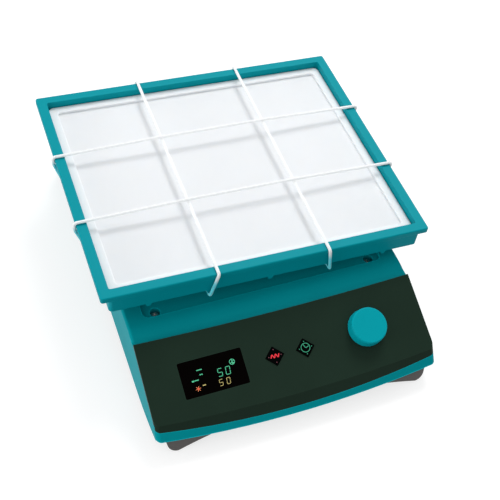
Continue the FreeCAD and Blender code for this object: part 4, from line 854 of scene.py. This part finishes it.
def fit_inlet_pins():
    """Nickel sleeves on the three pins that the inlet's block carries."""
    low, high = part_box("power_inlet")
    across, level = (low[0] + high[0]) / 2, (low[2] + high[2]) / 2
    start, end = (high[1] - depth * MM for depth in PIN_DEPTHS)
    size = Matrix.Diagonal((PIN_SIZE[0] * MM, end - start, PIN_SIZE[1] * MM, 1))
    shape = bmesh.new()
    for x, z in PIN_PLACES:
        place = Matrix.Translation((across + x * MM, (start + end) / 2, level + z * MM))
        bmesh.ops.create_cube(shape, size=1, matrix=place @ size)
    mesh = mesh_of(shape, "inlet_pins", FINISHES["bearing_steel"])
    pins = new_piece("inlet_pins", mesh, "base")
    chamfer = pins.modifiers.new("pin_chamfer", "BEVEL")
    chamfer.width = 0.5 * MM
    chamfer.segments = 2


def mark_switch():
    """The I and O on the switch's two faces, which are its largest that look to the rear."""
    paint = moulded_plastic("switch_marks", (0.72, 0.72, 0.70), 0.5, grain=0.00001)
    middle = sum(corner[2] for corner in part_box("power_rocker")) / 2
    shape = joined_copy("power_rocker")
    faces = sorted((face for face in shape.faces if face.normal.y > 0.8),
                   key=lambda face: -face.calc_area())[:2]
    for face in faces:
        right = Vector((-1, 0, 0))
        up = face.normal.cross(right).normalized()
        place = Matrix((right, up, face.normal)).transposed().to_4x4()
        place.translation = face.calc_center_median()
        if place.translation.z > middle:
            mark("mark_on", "power_rocker", paint, [bar((0, 0), *ON_BAR)], place)
        else:
            mark("mark_off", "power_rocker", paint, ring((0, 0), *OFF_RING), place)
    shape.free()


make_camera()
dress_parts()
soften_edges()
mark_display()
mark_keys()
fit_inlet_pins()
mark_switch()
cut_screws()


# Studio: white paper, a key light from behind on the right and a soft light from the left

WHITE = (1.0, 1.0, 1.0)
PAPER = (0.42, 0.42, 0.42)
PAPER_REACH = 3
PAPER_GLOW = 0.70
FRONT_LIGHT = (0.54, 0.545, 0.55)
REAR_LIGHT = (0.82, 0.825, 0.83)
LAMPS = {
    "key_light": {"place": (0.82, 1.13, 1.88), "target": (0, 0, 0.05), "side": 0.9, "power": 27},
    "left_light": {"place": (-1.70, -0.25, 0.22), "target": (0, 0, 0.04), "side": 0.8, "power": 14},
}


def make_floor():
    """White paper under the machine: it keeps its shadow, and looks white to the camera and in
    reflections."""
    mesh = bpy.data.meshes.new("floor")
    corners = [(x * PAPER_REACH, y * PAPER_REACH, 0) for x, y in ((-1, -1), (1, -1), (1, 1), (-1, 1))]
    mesh.from_pydata(corners, [], [(0, 1, 2, 3)])
    finish = Finish("sweep_paper", Base_Color=PAPER, Roughness=0.9, Specular_IOR_Level=0.0)
    glow = finish.node("ShaderNodeEmission", inputs={
        "Color": WHITE, "Strength": finish.sees_background() * PAPER_GLOW})
    lit = finish.node("ShaderNodeAddShader", inputs={
        0: Signal(finish, finish.shader.outputs[0]), 1: glow})
    finish.feed(finish.tree.nodes["Material Output"].inputs["Surface"], lit)
    mesh.materials.append(finish.material)
    link_object("floor", mesh)


def make_world():
    """White where the camera or a reflection looks past the machine. As light it is a soft grey,
    paler at the rear."""
    world = bpy.data.worlds.new("studio")
    bpy.context.scene.world = world
    world.use_nodes = True
    sky = Wiring(world.node_tree)
    direction = sky.node("ShaderNodeTexCoord", output="Generated")
    rearwards = sky.node("ShaderNodeSeparateXYZ", inputs={0: direction}, output="Y")
    soft = sky.blend(rearwards * 0.5 + 0.5, FRONT_LIGHT, REAR_LIGHT)
    sky.feed(world.node_tree.nodes["Background"].inputs["Color"],
             sky.blend(sky.sees_background(), soft, WHITE))


def make_lamp(name, place, target, side, power):
    data = bpy.data.lights.new(name, "AREA")
    data.shape = "SQUARE"
    data.size = side
    data.energy = power
    aim = (Vector(target) - Vector(place)).to_track_quat("-Z", "Y")
    link_object(name, data).matrix_world = Matrix.Translation(place) @ aim.to_matrix().to_4x4()


make_floor()
make_world()
for name, values in LAMPS.items():
    make_lamp(name, **values)
bpy.context.scene.view_settings.view_transform = "Standard"
